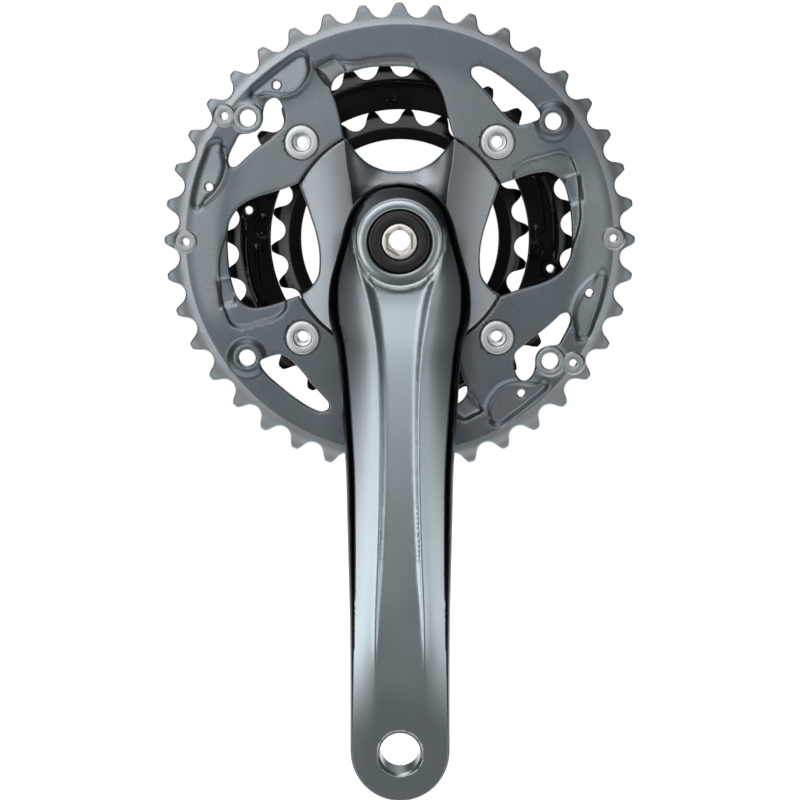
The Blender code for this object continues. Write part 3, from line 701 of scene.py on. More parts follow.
# Nickel-plated crank bolt: warmer than the zinc.
NICKEL = Finish(
    "nickel_plated_steel_bolt", "#e6e1da", "#f4f1ec", Process.TURNED, 1.0, 0.36, 0.04,
    grain=0.25, height=0.004, mottle=0.06, wear=0.4,
)
# Glass-filled nylon cap: semi-matt black.
RESIN = Finish(
    "moulded_glass_filled_nylon", "#070809", "#1b1c1e", Process.MOULDED, 0.0, 0.38, 0.05,
    grain=0.3, height=0.006, mottle=0.1, wear=0.3,
)

TREES: dict[str, bpy.types.NodeTree] = {}


def show(
    name: str,
    mesh: bpy.types.Mesh,
    stands_for: Iterable[str] = (),
    body: str = BODY,
    sharp: float = 40.0,
) -> bpy.types.Object:
    """Puts a finished mesh in the scene as a piece of the crankset.

    Args:
        name: the piece's name.
        mesh: its dressed mesh.
        stands_for: the CAD nodes that it replaces.
        body: the CAD body that it rides on.
        sharp: edges bent more than this many degrees stay sharp.

    Returns:
        The piece's object.
    """
    mesh.shade_smooth()
    mesh.set_sharp_from_angle(angle=math.radians(sharp))
    made = place(name, mesh)
    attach(made, body)
    if stands_for:
        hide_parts(*stands_for)
    LOG.info("%s: %d faces", name, len(mesh.polygons))
    return made


def merged(name: str, parts: Sequence[bpy.types.Mesh]) -> bpy.types.Mesh:
    """Several dressed meshes made one, their coincident points welded and their faces turned outwards."""
    materials: list[bpy.types.Material] = []
    shape = bmesh.new()
    for part in parts:
        first = len(shape.faces)
        shape.from_mesh(part)
        shape.faces.ensure_lookup_table()
        for face in shape.faces[first:]:
            finish = part.materials[face.material_index]
            if finish not in materials:
                materials.append(finish)
            face.material_index = materials.index(finish)
    bmesh.ops.remove_doubles(shape, verts=shape.verts, dist=WELD * MM)
    bmesh.ops.recalc_face_normals(shape, faces=shape.faces)
    made = bpy.data.meshes.new(name)
    shape.to_mesh(made)
    shape.free()
    for finish in materials:
        made.materials.append(finish)
    return made


def dressed(name: str, shell: Shell, finish: Finish) -> bpy.types.Mesh:
    """A shell's mesh in one finish."""
    mesh = shell.mesh(name)
    mesh.materials.append(finish.material())
    return mesh


# ---- chainrings --------------------------------------------------------------------------------------------
@dataclass
class Chainring:
    """A toothed ring for bicycle chain.

    Attributes:
        name: its CAD node.
        teeth: how many.
        phase: angle of the first tooth, degrees.
        plane: h of the middle of its teeth.
        back: h of the inboard face.
        face: h of the outboard face.
        chamfer: how far inside the root circle the face starts to fall towards the teeth.
        inner: radius of its inner edge, between the bolts.
        bolt_circle: radius at which its bolts stand.
        bolt_hole: their hole's radius.
        pad: radius of the pad round each bolt.
        slot: name of a material slot; not used.
    """

    name: str
    teeth: int
    phase: float
    plane: float
    back: float
    face: float
    chamfer: float
    inner: float
    bolt_circle: float
    bolt_hole: float
    pad: float
    slot: str
    finish: Finish = COATED
    rim_finish: Finish = COATED
    roller: float = 4.0
    tooth_half: float = 1.02
    tip_rise: float = 1.08
    tip_half: float = 1.15
    edge_round: float = 0.3
    pins: tuple[tuple[float, float], ...] = ()
    pin_boss: float = 3.8
    ridge: float = 0.0
    ribs: tuple = ()
    rib_height: float = 0.55

    @property
    def pitch(self) -> float:
        """Radius of the circle through the chain's pins."""
        return CHAIN_PITCH / 2 / math.sin(math.pi / self.teeth)

    @property
    def root(self) -> float:
        """Radius at the bottom of the tooth gaps."""
        return self.pitch - self.roller

    @property
    def join(self) -> float:
        """Radius at which the toothed rim meets the web."""
        return self.root - 0.7

    def fall(self, radius: float | Array) -> Array:
        """How far the outboard face has fallen at this radius, on its way to the teeth."""
        keys = (self.root - self.chamfer, self.root, self.pitch - 1.2, self.pitch + self.tip_rise)
        rim = self.face - self.plane
        drops = (0.0, 0.18 * self.chamfer, rim - self.tooth_half, rim - 0.6)
        return sum(np.interp(radius + shift, keys, drops) for shift in (-0.45, -0.15, 0.15, 0.45)) / 4

    def columns(self) -> tuple[Array, Array]:
        """Angles across one tooth, from gap to gap, and the outline's radius at each.

        Returns:
            Degrees from the tooth's middle, and mm from the axis.
        """
        half = self.pitch * math.pi / self.teeth
        seat_end = 0.89 * self.roller
        along = np.array([0, 0.8, 1.6, 2.3, 2.9, 3.3, seat_end])
        radii = self.pitch - np.sqrt(self.roller**2 - along**2)
        tip, shoulder = self.pitch + self.tip_rise, half - self.tip_half
        rise = np.linspace(0, 1, 5)[1:]
        bulge = 0.22 * np.sin(rise * math.pi)
        along = np.concatenate([along, seat_end + (shoulder - seat_end) * rise, [shoulder + 0.35, half]])
        flank = radii[-1] + (tip - 0.22 - radii[-1]) * rise + bulge
        radii = np.concatenate([radii, flank, [tip - 0.03, tip]])
        angles = np.degrees((half - along) / self.pitch)
        return np.concatenate([-angles, angles[-2::-1]]), np.concatenate([radii, radii[-2::-1]])

    def rim_sector(self) -> Shell:
        """The stretch of rim that carries one tooth, open at both ends and where it meets the web."""
        angles, radii = self.columns()
        tip = self.pitch + self.tip_rise
        keys = (self.join, self.root, self.pitch - 1.2, tip)
        rear = (self.back, self.plane - self.tooth_half, self.plane - self.tooth_half, self.plane - 0.6)
        insets = tuple(self.edge_round * share for share in (1.0, 0.65, 0.35, 0.12, 0.0))
        shares = (0.0, 0.2, 0.4, 0.6, 0.8)
        rows, worn = [], []
        for side in (1, -1):
            path = [(self.join + (radii - insets[0] - self.join) * s, 9.0) for s in shares]
            path += [(radii - inset, inset) for inset in insets]
            if side < 0:
                path = path[::-1]
            for reach, depth in path:
                drop = float(rounding(np.array([depth]), self.edge_round)[0])
                level = self.face - self.fall(reach) if side > 0 else np.interp(reach, keys, rear)
                h = level - side * drop
                rows.append(np.column_stack([polar(reach, angles + self.phase), h]))
                worn.append(np.full(len(angles), math.exp(-depth / 0.3)))
        width = len(angles)
        faces = [
            (k * width + i, (k + 1) * width + i, (k + 1) * width + i + 1, k * width + i + 1)
            for k in range(len(rows) - 1)
            for i in range(width - 1)
        ]
        return Shell(np.vstack(rows), faces, np.concatenate(worn), np.ones(len(rows) * width))

    def web_edge(self) -> Array:
        """The web's outer edge, a point for each column of the rim."""
        angles = self.columns()[0][:-1]
        turns = np.arange(self.teeth) * 360 / self.teeth
        return polar(self.join, (angles[None, :] + self.phase + turns[:, None]).ravel())

    def inner_edge(self) -> Array:
        """A circle that swells inwards round each bolt's pad."""
        angles = np.arange(0, 360, 0.8)
        offset = (angles + 45) % 90 - 45
        offset = np.abs(offset) - 45
        side = self.bolt_circle * np.sin(np.radians(offset))
        reach = np.sqrt(np.maximum(self.pad**2 - side**2, 0))
        pad = np.where(np.abs(side) < self.pad, self.bolt_circle * np.cos(np.radians(offset)) - reach, 1e3)
        blend = 2.5
        share = np.clip(0.5 + 0.5 * (pad - self.inner) / blend, 0, 1)
        radii = pad * (1 - share) + self.inner * share - blend * share * (1 - share)
        return polar(np.where(pad > 900, self.inner, radii), angles)

    def holes(self) -> list[Array]:
        """The openings through the web."""
        found = [self.inner_edge()]
        found += [circle(polar(self.bolt_circle, a), self.bolt_hole) for a in LEG_ANGLES]
        return found + [circle(p, PIN_BORE + 0.05, 0.4) for p in self.pin_places()]

    def pin_places(self) -> list[Array]:
        """Where the shift pins stand."""
        return [polar(r, a + turn) for turn in (0, 180) for r, a in self.pins]

    def front(self, points: Array, depth: Array) -> Array:
        """Height of the outboard face."""
        radius = np.linalg.norm(points, axis=1)
        h = self.face - self.fall(radius)
        if self.ridge:
            h += 0.6 * np.exp(-(((radius - self.ridge) / 0.45) ** 2))
        for rib in self.ribs:
            for line in (np.asarray(rib, float), -np.asarray(rib, float)):
                off = distance(points, spline(line, False, 1.0), closed=False)
                h += self.rib_height * ramp(-off, -0.75, -0.15)
        for centre in self.pin_places():
            off = from_centre(points, centre)
            boss = self.face + 0.6 - 1.6 * ramp(off, self.pin_boss - 0.7, self.pin_boss + 0.3)
            h = np.where(off < self.pin_boss + 0.3, np.maximum(h, boss), h)
        return h - rounding(depth, self.edge_round)

    def rear(self, points: Array, depth: Array) -> Array:
        """Height of the inboard face."""
        return self.back + rounding(depth, self.edge_round)

    def marks(self) -> list[Array]:
        """Points along the lines in the relief."""
        found = [circle(p, self.pin_boss + d, 0.5) for p in self.pin_places() for d in (-0.7, -0.2, 0.3)]
        found += self.chamfer_rows()
        if self.ridge:
            found += [circle((0, 0), self.ridge + d, 0.7) for d in (-0.5, 0.0, 0.5)]
        for rib in self.ribs:
            line = spline(rib, False, 0.5)
            run = np.gradient(line, axis=0)
            left = np.stack([-run[:, 1], run[:, 0]], axis=1) / np.linalg.norm(run, axis=1)[:, None]
            for row in (-0.75, -0.15, 0.15, 0.75):
                found += [line + left * row, -(line + left * row)]
        return found

    def zone(self, points: Array, depth: Array, in_front: bool) -> Array:
        """Where the web is as light as the teeth."""
        start = self.root - self.chamfer
        return ramp(np.linalg.norm(points, axis=1), start - 0.2, start + 0.3)

    def chamfer_rows(self) -> list[Array]:
        """Rows of points that follow the start of the fall towards the teeth."""
        line = self.web_edge()
        start = self.root - self.chamfer
        return [line * (start + d) / self.join for d in (-0.6, -0.2, 0.2, 0.6)]

    def extras(self) -> list[bpy.types.Mesh]:
        """Further dressed meshes that belong to the ring."""
        return []

    def build(self) -> bpy.types.Object:
        """Makes the ring, its teeth repeated about the spindle, and shows it in place of its CAD node."""
        web = Relief(
            self.web_edge(), self.holes(), self.front, self.rear, grid=1.1, marks=self.marks(), open_rim=True,
            zone=self.zone,
        )
        rim = around(f"{self.name}_rim", self.rim_sector(), self.teeth, self.rim_finish.material())
        parts = [dressed(f"{self.name}_web", web.shell(), self.finish), rim, *self.extras()]
        return show(f"{self.name}_detail", merged(self.name, parts), [self.name])


@dataclass
class OuterRing(Chainring):
    """The big ring: four tabs between four windows, slots, guard bosses and pockets for the shift ramps."""

    tab_end: float = 40.2
    right_window: tuple = (
        (34.8, -20), (40, -17.9), (45, -16.4), (50, -14.8), (55, -12.2), (57.5, -9.5), (59.4, -6), (60, 0),
        (60, 3), (59.7, 8), (59, 13), (58, 17), (57, 19.5), (55, 21.8), (53, 23), (51, 23.5), (48, 23.3),
        (45, 22.6), (40, 21), (35.2, 19.4),
    )
    top_window: tuple = (
        (19, 35.4), (18, 38), (17, 42), (15.8, 47), (14.5, 51), (12.5, 54.5), (9.5, 57.3), (6, 59), (3, 59.9),
        (0, 60.1), (-5, 60), (-10, 59.8), (-15, 58.7), (-17.3, 58), (-20, 57.5), (-22.5, 55.5), (-23.6, 52.5),
        (-22, 48), (-20.5, 42), (-19.3, 35.4),
    )
    crescent: tuple = (
        (27.5, 60), (32, 58.3), (37, 55), (42, 51), (46.5, 47), (48.8, 43.5), (48.5, 42), (46.5, 41), (43, 40),
        (41, 40), (38.5, 41.5), (35, 45), (31, 50), (27, 54.5), (25, 57), (25.2, 59.2),
    )
    lug_slot: tuple = (
        (-39.8, 42), (-40.8, 47), (-42.5, 49), (-44, 49.2), (-46.3, 47.5), (-47.3, 44.5), (-47.5, 41),
        (-49, 38.5), (-52, 37), (-55.5, 36.5), (-57, 34), (-59.2, 29.5), (-59.5, 27), (-58.5, 25.5),
        (-56.5, 25.8), (-54, 28), (-50, 31.5), (-46, 34.5), (-43, 37), (-40.6, 39.2),
    )
    boss: tuple = (53.3, 41.0)
    lug: tuple = (-52.5, 42.3)
    guard_hole: float = 2.95
    raised_pins: tuple = ((-60.6, 43.0), (-74.4, -0.5))
    pockets: tuple = (
        ((-50.5, 50.6), (-46, 54.8), (-40, 59.5), (-33.8, 63.4), (-31.2, 61), (-31.2, 58), (-33, 54.5),
         (-36.5, 51.2), (-41, 50), (-46, 50.2)),
        ((-62.5, 33.5), (-60.6, 27), (-61, 24), (-63, 19), (-66.5, 15), (-70.5, 12.2), (-69.5, 19.5),
         (-67, 27.5), (-64.8, 33)),
    )
    ledges: tuple = (
        ((-23.6, 52.5), (-29, 59.6), (-26.5, 61.6), (-22.5, 63.2), (-19.8, 62.2), (-15, 61.8), (-8, 62.9),
         (0, 63.2), (5, 62.4), (7, 58), (0, 56), (-20, 55)),
        ((40, 20), (39.5, 24), (43, 27.3), (50, 29.5), (56, 30.8), (59, 29.5), (61, 25.5), (62.4, 21), (63, 13),
         (63.2, 8), (62.6, 4), (61, -1), (59, -6), (54, 0), (54, 18)),
    )
    key_blocks: tuple = (
        ((57.0, 21.8), (60, 23.2), (62.6, 23.6), (63.6, 19), (64.0, 13.4), (61, 12.8), (57.6, 12), (57, 17)),
        ((-29.4, 59.8), (-26, 61.6), (-22.6, 63.2), (-20.2, 62), (-18, 58.6), (-19, 55), (-23.6, 52.7), (-26, 56)),
    )
    # painted highlights: bars of light on the key blocks' walls
    painted_highlight_walls: tuple = (
        ((57.0, 22.6), (62.6, 24.4), (62.9, 22.4), (57.0, 20.8)),
        ((57.6, 12.6), (63.8, 14.0), (63.9, 12.8), (57.6, 11.4)),
    )
    pocket_low: float = 62.5
    pocket_top: float = 71.0
    pocket_slope: float = 0.13
    pocket_lip: float = 0.4
    ledge_depth: float = 0.8
    key_depth: float = 0.8

    @staticmethod
    def twice(points: Sequence[Sequence[float]]) -> list[Array]:
        """The points, and the same after half a turn."""
        made = np.asarray(points, float)
        return [made, -made]

    def inner_edge(self) -> Array:
        """Four windows, with a tab that ends near the spider between each two."""
        right = spline(self.right_window, False)
        top = spline(self.top_window, False)
        angle = [math.degrees(math.atan2(z, x)) for x, z in (right[-1], top[0], top[-1], -right[0])]
        half = np.vstack(
            [right, arc(self.tab_end, angle[0], angle[1])[1:-1], top, arc(self.tab_end, angle[2], angle[3])[1:-1]]
        )
        return np.vstack([half, -half])

    def holes(self) -> list[Array]:
        """The inner edge, the slots, and the holes for guard screws, ring bolts and pins."""
        found = super().holes()
        for points in (self.crescent, self.lug_slot):
            found += self.twice(spline(points, True))
        for centre in (self.boss, self.lug):
            found += [circle(p, self.guard_hole, 0.5) for p in self.twice(centre)]
        return found

    def front(self, points: Array, depth: Array) -> Array:
        """The outboard face with its ledges, pockets and bosses."""
        radius = np.linalg.norm(points, axis=1)
        h = self.face - self.fall(radius)
        for half in (1, -1):
            p = points * half
            for ledge in self.ledges:
                h -= self.ledge_depth * ramp(depth_inside(p, spline(ledge, True, 1.5)), -0.1, 0.8)
            for block in self.key_blocks:
                h -= self.key_depth * ramp(depth_inside(p, spline(block, True, 1.0)), -0.2, 1.4)
            for pocket in self.pockets:
                inner = depth_inside(p, spline(pocket, True, 1.0))
                far = ramp(radius, self.pocket_top - 2.5, self.pocket_top)
                lip = self.pocket_lip * ramp(inner, -1.6, -0.6) * ramp(-inner, 0.0, 0.5)
                floor = 0.1 + self.pocket_slope * np.clip(radius - self.pocket_low, 0, None)
                h += lip * (1 - far) - floor * ramp(inner, -0.2 - 2.2 * far, 1.2 - 0.9 * far)
            h = self._raised(h, from_centre(p, self.boss), (4.6, 5.0, 7.6), (1.4, 1.3, -0.3))
            h = self._raised(h, from_centre(p, self.lug), (4.7, 5.1, 5.8), (0.5, 0.4, -0.3))
            for angle in LEG_ANGLES[:2]:
                h -= 0.45 * ramp(-from_centre(p, polar(self.bolt_circle, angle)), -6.35, -6.2)
        return h - rounding(depth, self.edge_round)

    def zone(self, points: Array, depth: Array, in_front: bool) -> Array:
        """Lighter where the teeth are, on the pocket floors as machined and partly as painted highlight, on the top
        ledge and the lug's ring; painted highlight on the ring's left and right, its upper inner part and the key
        blocks' walls.
        """
        light = super().zone(points, depth, in_front)
        if not in_front:
            return light
        radius = np.linalg.norm(points, axis=1)
        lean = np.degrees(np.arcsin(np.clip(points[:, 1] / radius, -1, 1)))
        # painted highlight: the ring's left and right lighter, as lit from the sides
        sides = ramp(-np.abs(lean), -30, -14) * ramp(radius, 61, 66) * ramp(-radius, -74, -71)
        light = np.maximum(light, 0.55 * sides)
        # painted highlight: the upper inner part lighter, as lit from above
        light = np.maximum(light, 0.3 * ramp(-radius, -64, -56) * ramp(points[:, 1], -20, 20))
        for half in (1, -1):
            for pocket in self.pockets:
                # pocket floors lighter: machined, and partly painted highlight
                floor = ramp(depth_inside(points * half, spline(pocket, True, 1.0)), 0, 0.8)
                light = np.maximum(light, 0.3 * floor)
            strip = ramp(depth_inside(points * half, spline(self.ledges[0], True, 1.5)), 0, 0.8)
            light = np.maximum(light, 0.5 * strip)
            # painted highlight: bright bars on the key blocks' walls
            for wall in self.painted_highlight_walls:
                light = np.maximum(light, ramp(depth_inside(points * half, np.asarray(wall, float)), -0.1, 0.3))
            light = np.maximum(light, 0.9 * ramp(-from_centre(points * half, self.lug), -5.9, -5.4))
        return light

    def _raised(self, h: Array, off: Array, radii: tuple, rises: tuple) -> Array:
        """Adds a round boss: flat out to the first radius, then falling to the last."""
        boss = self.face + np.interp(off, radii, rises)
        return np.where(off < radii[-1], np.maximum(h, boss), h)

    def extras(self) -> list[bpy.types.Mesh]:
        """The flat-topped bosses of the raised pins, which reach over the toothed rim."""
        made = []
        top, low = self.face + 0.45, self.face - 2.0
        section = [(PIN_BORE + 0.05, top), (3.5, top), (4.3, top - 0.7), (4.5, low), (PIN_BORE + 0.05, low)]
        for i, centre in enumerate(point for pin in self.raised_pins for point in self.twice(pin)):
            made.append(dressed(f"pin_boss_{i}", turned(section, centre, 40, soften=0.25), self.rim_finish))
        return made

    def marks(self) -> list[Array]:
        """Points along every line in the relief, on both halves."""
        found = []
        for loops, rows in ((self.ledges, (-0.15, 0.2, 0.5, 0.85)), (self.pockets, (-2.4, -1.6, -0.9, -0.3, 0.1, 0.5, 1.2, 2.2)),
                            (self.key_blocks, (-0.2, 0.2, 0.6, 1.0, 1.4))):
            for loop in loops:
                line = oriented(spline(loop, True, 0.7), True)
                for row in rows:
                    found += self.twice(offset(line, row))
        for centre, radii in (
            (self.boss, (4.6, 5.1, 5.9, 6.7, 7.4, 7.7)),
            (self.lug, (4.6, 5.0, 5.5)),
        ):
            for radius in radii:
                found += self.twice(circle(centre, radius, 0.6))
        for angle in LEG_ANGLES:
            found += [circle(polar(self.bolt_circle, angle), r, 0.7) for r in (6.2, 6.35)]
        found += self.chamfer_rows()
        return found


# ---- crank arm ---------------------------------------------------------------------------------------------
@dataclass
class Station:
    """A level of the arm.

    Attributes:
        z: how high it is, from the spindle axis.
        side: half the arm's width.
        band: width of the steep side, seen face on, which is painted dark as shade.
        ridge: half the distance between the two raised lines.
        channel: half the width of the sunken middle.
        sink: how deep the middle is sunk.
        fall: how far the face falls from the ridge to the dark side.
    """

    z: float
    side: float
    band: float
    ridge: float
    channel: float
    sink: float
    fall: float


@dataclass
class CrankArm:
    """The forged arm: head about the crank bolt, leaning shank with a sunken middle, and the pedal eye."""

    stations: tuple[Station, ...] = (
        Station(0, 20.3, 2.9, 15.4, 14.4, 0.6, 1.8),
        Station(-8, 22.5, 2.9, 14.2, 12.0, 0.9, 2.6),
        Station(-14, 24.1, 3.3, 12.4, 9.2, 1.1, 3.2),
        Station(-20, 24.7, 3.7, 10.9, 7.2, 1.1, 3.5),
        Station(-28, 24.3, 3.9, 9.4, 5.9, 1.0, 3.6),
        Station(-36, 22.0, 3.2, 8.1, 5.1, 0.85, 3.5),
        Station(-44, 21.0, 3.1, 7.4, 4.6, 0.75, 3.1),
        Station(-60, 19.9, 3.2, 6.8, 4.3, 0.6, 2.4),
        Station(-80, 18.6, 3.0, 6.8, 4.4, 0.55, 1.8),
        Station(-96, 18.2, 2.8, 7.1, 5.1, 0.5, 1.55),
        Station(-112, 17.8, 2.4, 7.6, 5.9, 0.4, 1.4),
        Station(-128, 17.4, 1.8, 8.2, 7.2, 0.2, 1.2),
        Station(-148, 17.2, 1.3, 8.4, 8.2, 0.0, 0.75),
        Station(-162, 17.2, 1.1, 8.4, 8.2, 0.0, 0.45),
        Station(-175, 17.25, 1.0, 8.4, 8.3, 0.0, 0.2),
    )
    head: tuple = ((20.3, 0.0), (19.2, 4.6), (18.0, 8.0), (16.1, 12.0), (12.5, 16.1), (7.0, 19.4), (0.0, 20.6))
    eye_radius: float = 17.25
    bore: float = 7.0
    chamfer: float = 1.0
    head_hole: float = 12.5
    face: tuple = ((21, 37.0), (-14, 37.0), (-40, 39.9), (-60, 41.9), (-90, 45.0), (-115, 47.4), (-158, 51.3), (-195, 51.3))
    rear: tuple = ((21, 19.0), (-24, 19.0), (-31, 25.4), (-87.5, 30.9), (-161, 38.1), (-195, 38.1))
    wall_drop: float = 6.0
    rear_round: float = 3.0

    def along(self, z: Array, what: str) -> Array:
        """A station's value at any height, smoothly between the stations."""
        levels = np.array([s.z for s in self.stations])[::-1]
        values = np.array([getattr(s, what) for s in self.stations])[::-1]
        slope = np.gradient(values, levels)
        k = np.clip(np.searchsorted(levels, z) - 1, 0, len(levels) - 2)
        step = levels[k + 1] - levels[k]
        t = np.clip((z - levels[k]) / step, 0, 1)
        near = values[k] * (1 + 2 * t) * (1 - t) ** 2 + slope[k] * step * t * (1 - t) ** 2
        far = values[k + 1] * t * t * (3 - 2 * t) + slope[k + 1] * step * t * t * (t - 1)
        return near + far

    @staticmethod
    def level(z: Array, table: Sequence[tuple[float, float]]) -> Array:
        """A height along the arm, its corners eased."""
        levels, values = np.array(table[::-1]).T
        return sum(np.interp(z + shift, levels, values) for shift in np.linspace(-9, 9, 9)) / 9

    def outline(self) -> Array:
        """The arm's silhouette."""
        zs = np.arange(-1.0, PEDAL_AXIS[1], -1.0)
        side = np.column_stack([self.along(zs, "side"), zs])
        end = np.asarray(PEDAL_AXIS) + polar(self.eye_radius, np.linspace(0, -180, 56))
        head = spline(self.head, False, 0.9)
        right = np.vstack([head[::-1], side])
        left = right[1:][::-1] * (-1, 1)
        return np.vstack([right, end, left])

    def band(self, points: Array) -> Array:
        """Width of the steep side, painted dark as shade, at each point."""
        over_head = ramp(points[:, 1], 0, 16)
        return self.along(np.minimum(points[:, 1], 0), "band") * (1 - over_head) + 2.2 * over_head

    def front(self, points: Array, depth: Array) -> Array:
        """The outboard face: ridges, the sunken middle, the annular seat's slope, the eye's chamfer."""
        z = points[:, 1]
        across = np.abs(points[:, 0])
        depth = distance(points, self.outline())
        ridge, channel = self.along(np.minimum(z, 0), "ridge"), self.along(np.minimum(z, 0), "channel")
        band, sink = self.band(points), self.along(np.minimum(z, 0), "sink")
        h = self.level(z, self.face)
        low = ramp(-z, 134, 152)
        wall = np.clip((ridge - across) / np.maximum(ridge - channel, 0.4), 0, 1)
        h -= sink * ramp(wall, 0, 1) * ramp(from_centre(points, (0, 0)), 15.0, 17.5) * ramp(-z, 2, 10)
        lift = ramp(-z, 1, 9) * (1 - low)
        h += 0.12 * lift * np.exp(-(((across - ridge) / 0.6) ** 2))
        fall = np.clip((across - ridge) / np.maximum(self.along(np.minimum(z, 0), "side") - band - ridge, 1), 0, 1)
        h -= self.along(np.minimum(z, 0), "fall") * fall**1.3 * ramp(-z, -4, 10)
        radius = np.linalg.norm(points, axis=1)
        h -= 1.5 * np.clip((radius - 14.6) / 5.0, 0, 1) * ramp(z, -12, 2)
        h -= 0.4 * np.exp(-(((radius - 15.0) / 0.4) ** 2)) * ramp(-z, -8, 6)
        steep = np.clip(1 - depth / band, 0, 1)
        h -= self.wall_drop * (1 - np.sqrt(np.maximum(1 - steep**2.2, 0))) + 0.25 * (depth < band)
        eye = from_centre(points, PEDAL_AXIS)
        return h - np.clip(self.bore + self.chamfer - eye, 0, self.chamfer)

    def back(self, points: Array, depth: Array) -> Array:
        """The inboard face, rounded towards its edges."""
        h = self.level(points[:, 1], self.rear)
        edge = np.minimum(depth, distance(points, self.outline()[::3]))
        eye = from_centre(points, PEDAL_AXIS)
        near_eye = eye < self.bore + 3
        return h + np.where(near_eye, np.clip(self.bore + 0.6 - eye, 0, 0.6), rounding(edge, self.rear_round))

    def zone(self, points: Array, depth: Array, in_front: bool) -> Array:
        """Where the forging is painted dark: its steep sides and the upper part of its head's slope, as painted
        shade, and its back, a quarter dark and fully so near its edges.
        """
        depth = distance(points, self.outline())
        eye = from_centre(points, PEDAL_AXIS)
        # painted shade: the steep sides darkened for the dark surroundings they reflect
        side = np.where(eye < self.bore + 2, 0, ramp(-depth, -self.band(points) - 0.1, -self.band(points) + 0.15))
        # the back: a quarter dark all over and fully dark near its edges
        if not in_front:
            return np.maximum(0.25, np.where(eye < self.bore + 2, 0, ramp(-depth, -3.2, -0.5)))
        radius = np.linalg.norm(points, axis=1)
        # painted shade: the upper part of the head's slope darkened
        slope = 0.85 * ramp(radius, 14.3, 14.9) * ramp(points[:, 1], -12, 4)
        return np.maximum(side, slope)

    def marks(self) -> list[Array]:
        """Points along the ridges, the channel's edges, the dark band's edge and the eye's chamfer."""
        found = []
        zs = np.arange(-4, -150, -0.8)
        for sign in (-1, 1):
            for row in (-0.5, 0.0, 0.5):
                found.append(np.column_stack([sign * (self.along(zs, "ridge") + row), zs]))
            found.append(np.column_stack([sign * self.along(zs, "channel"), zs]))
        outline = oriented(self.outline(), True)
        band = self.band(outline)
        found += [offset(outline, band + d) for d in (-0.5, -0.2, 0.05, 0.4)]
        found += [circle(PEDAL_AXIS, self.bore + d, 0.6) for d in (self.chamfer, self.chamfer + 0.15)]
        found += [circle((0, 0), r, 0.7) for r in (14.4, 14.8, 15.2, 15.7)]
        return found

    def build(self) -> bpy.types.Object:
        """Makes the arm and shows it in place of the forging's CAD node."""
        relief = Relief(
            self.outline(),
            [circle(PEDAL_AXIS, self.bore, 0.6), circle((0, 0), self.head_hole)],
            self.front,
            self.back,
            grid=1.0,
            rims=(0.15, 0.4, 0.8, 1.3, 1.9),
            marks=self.marks(),
            zone=self.zone,
            wall_rows=4,
            worn=False,
        )
        return show("arm_forging", dressed("arm_forging", relief.shell(), FORGED), ["crank_arm"])


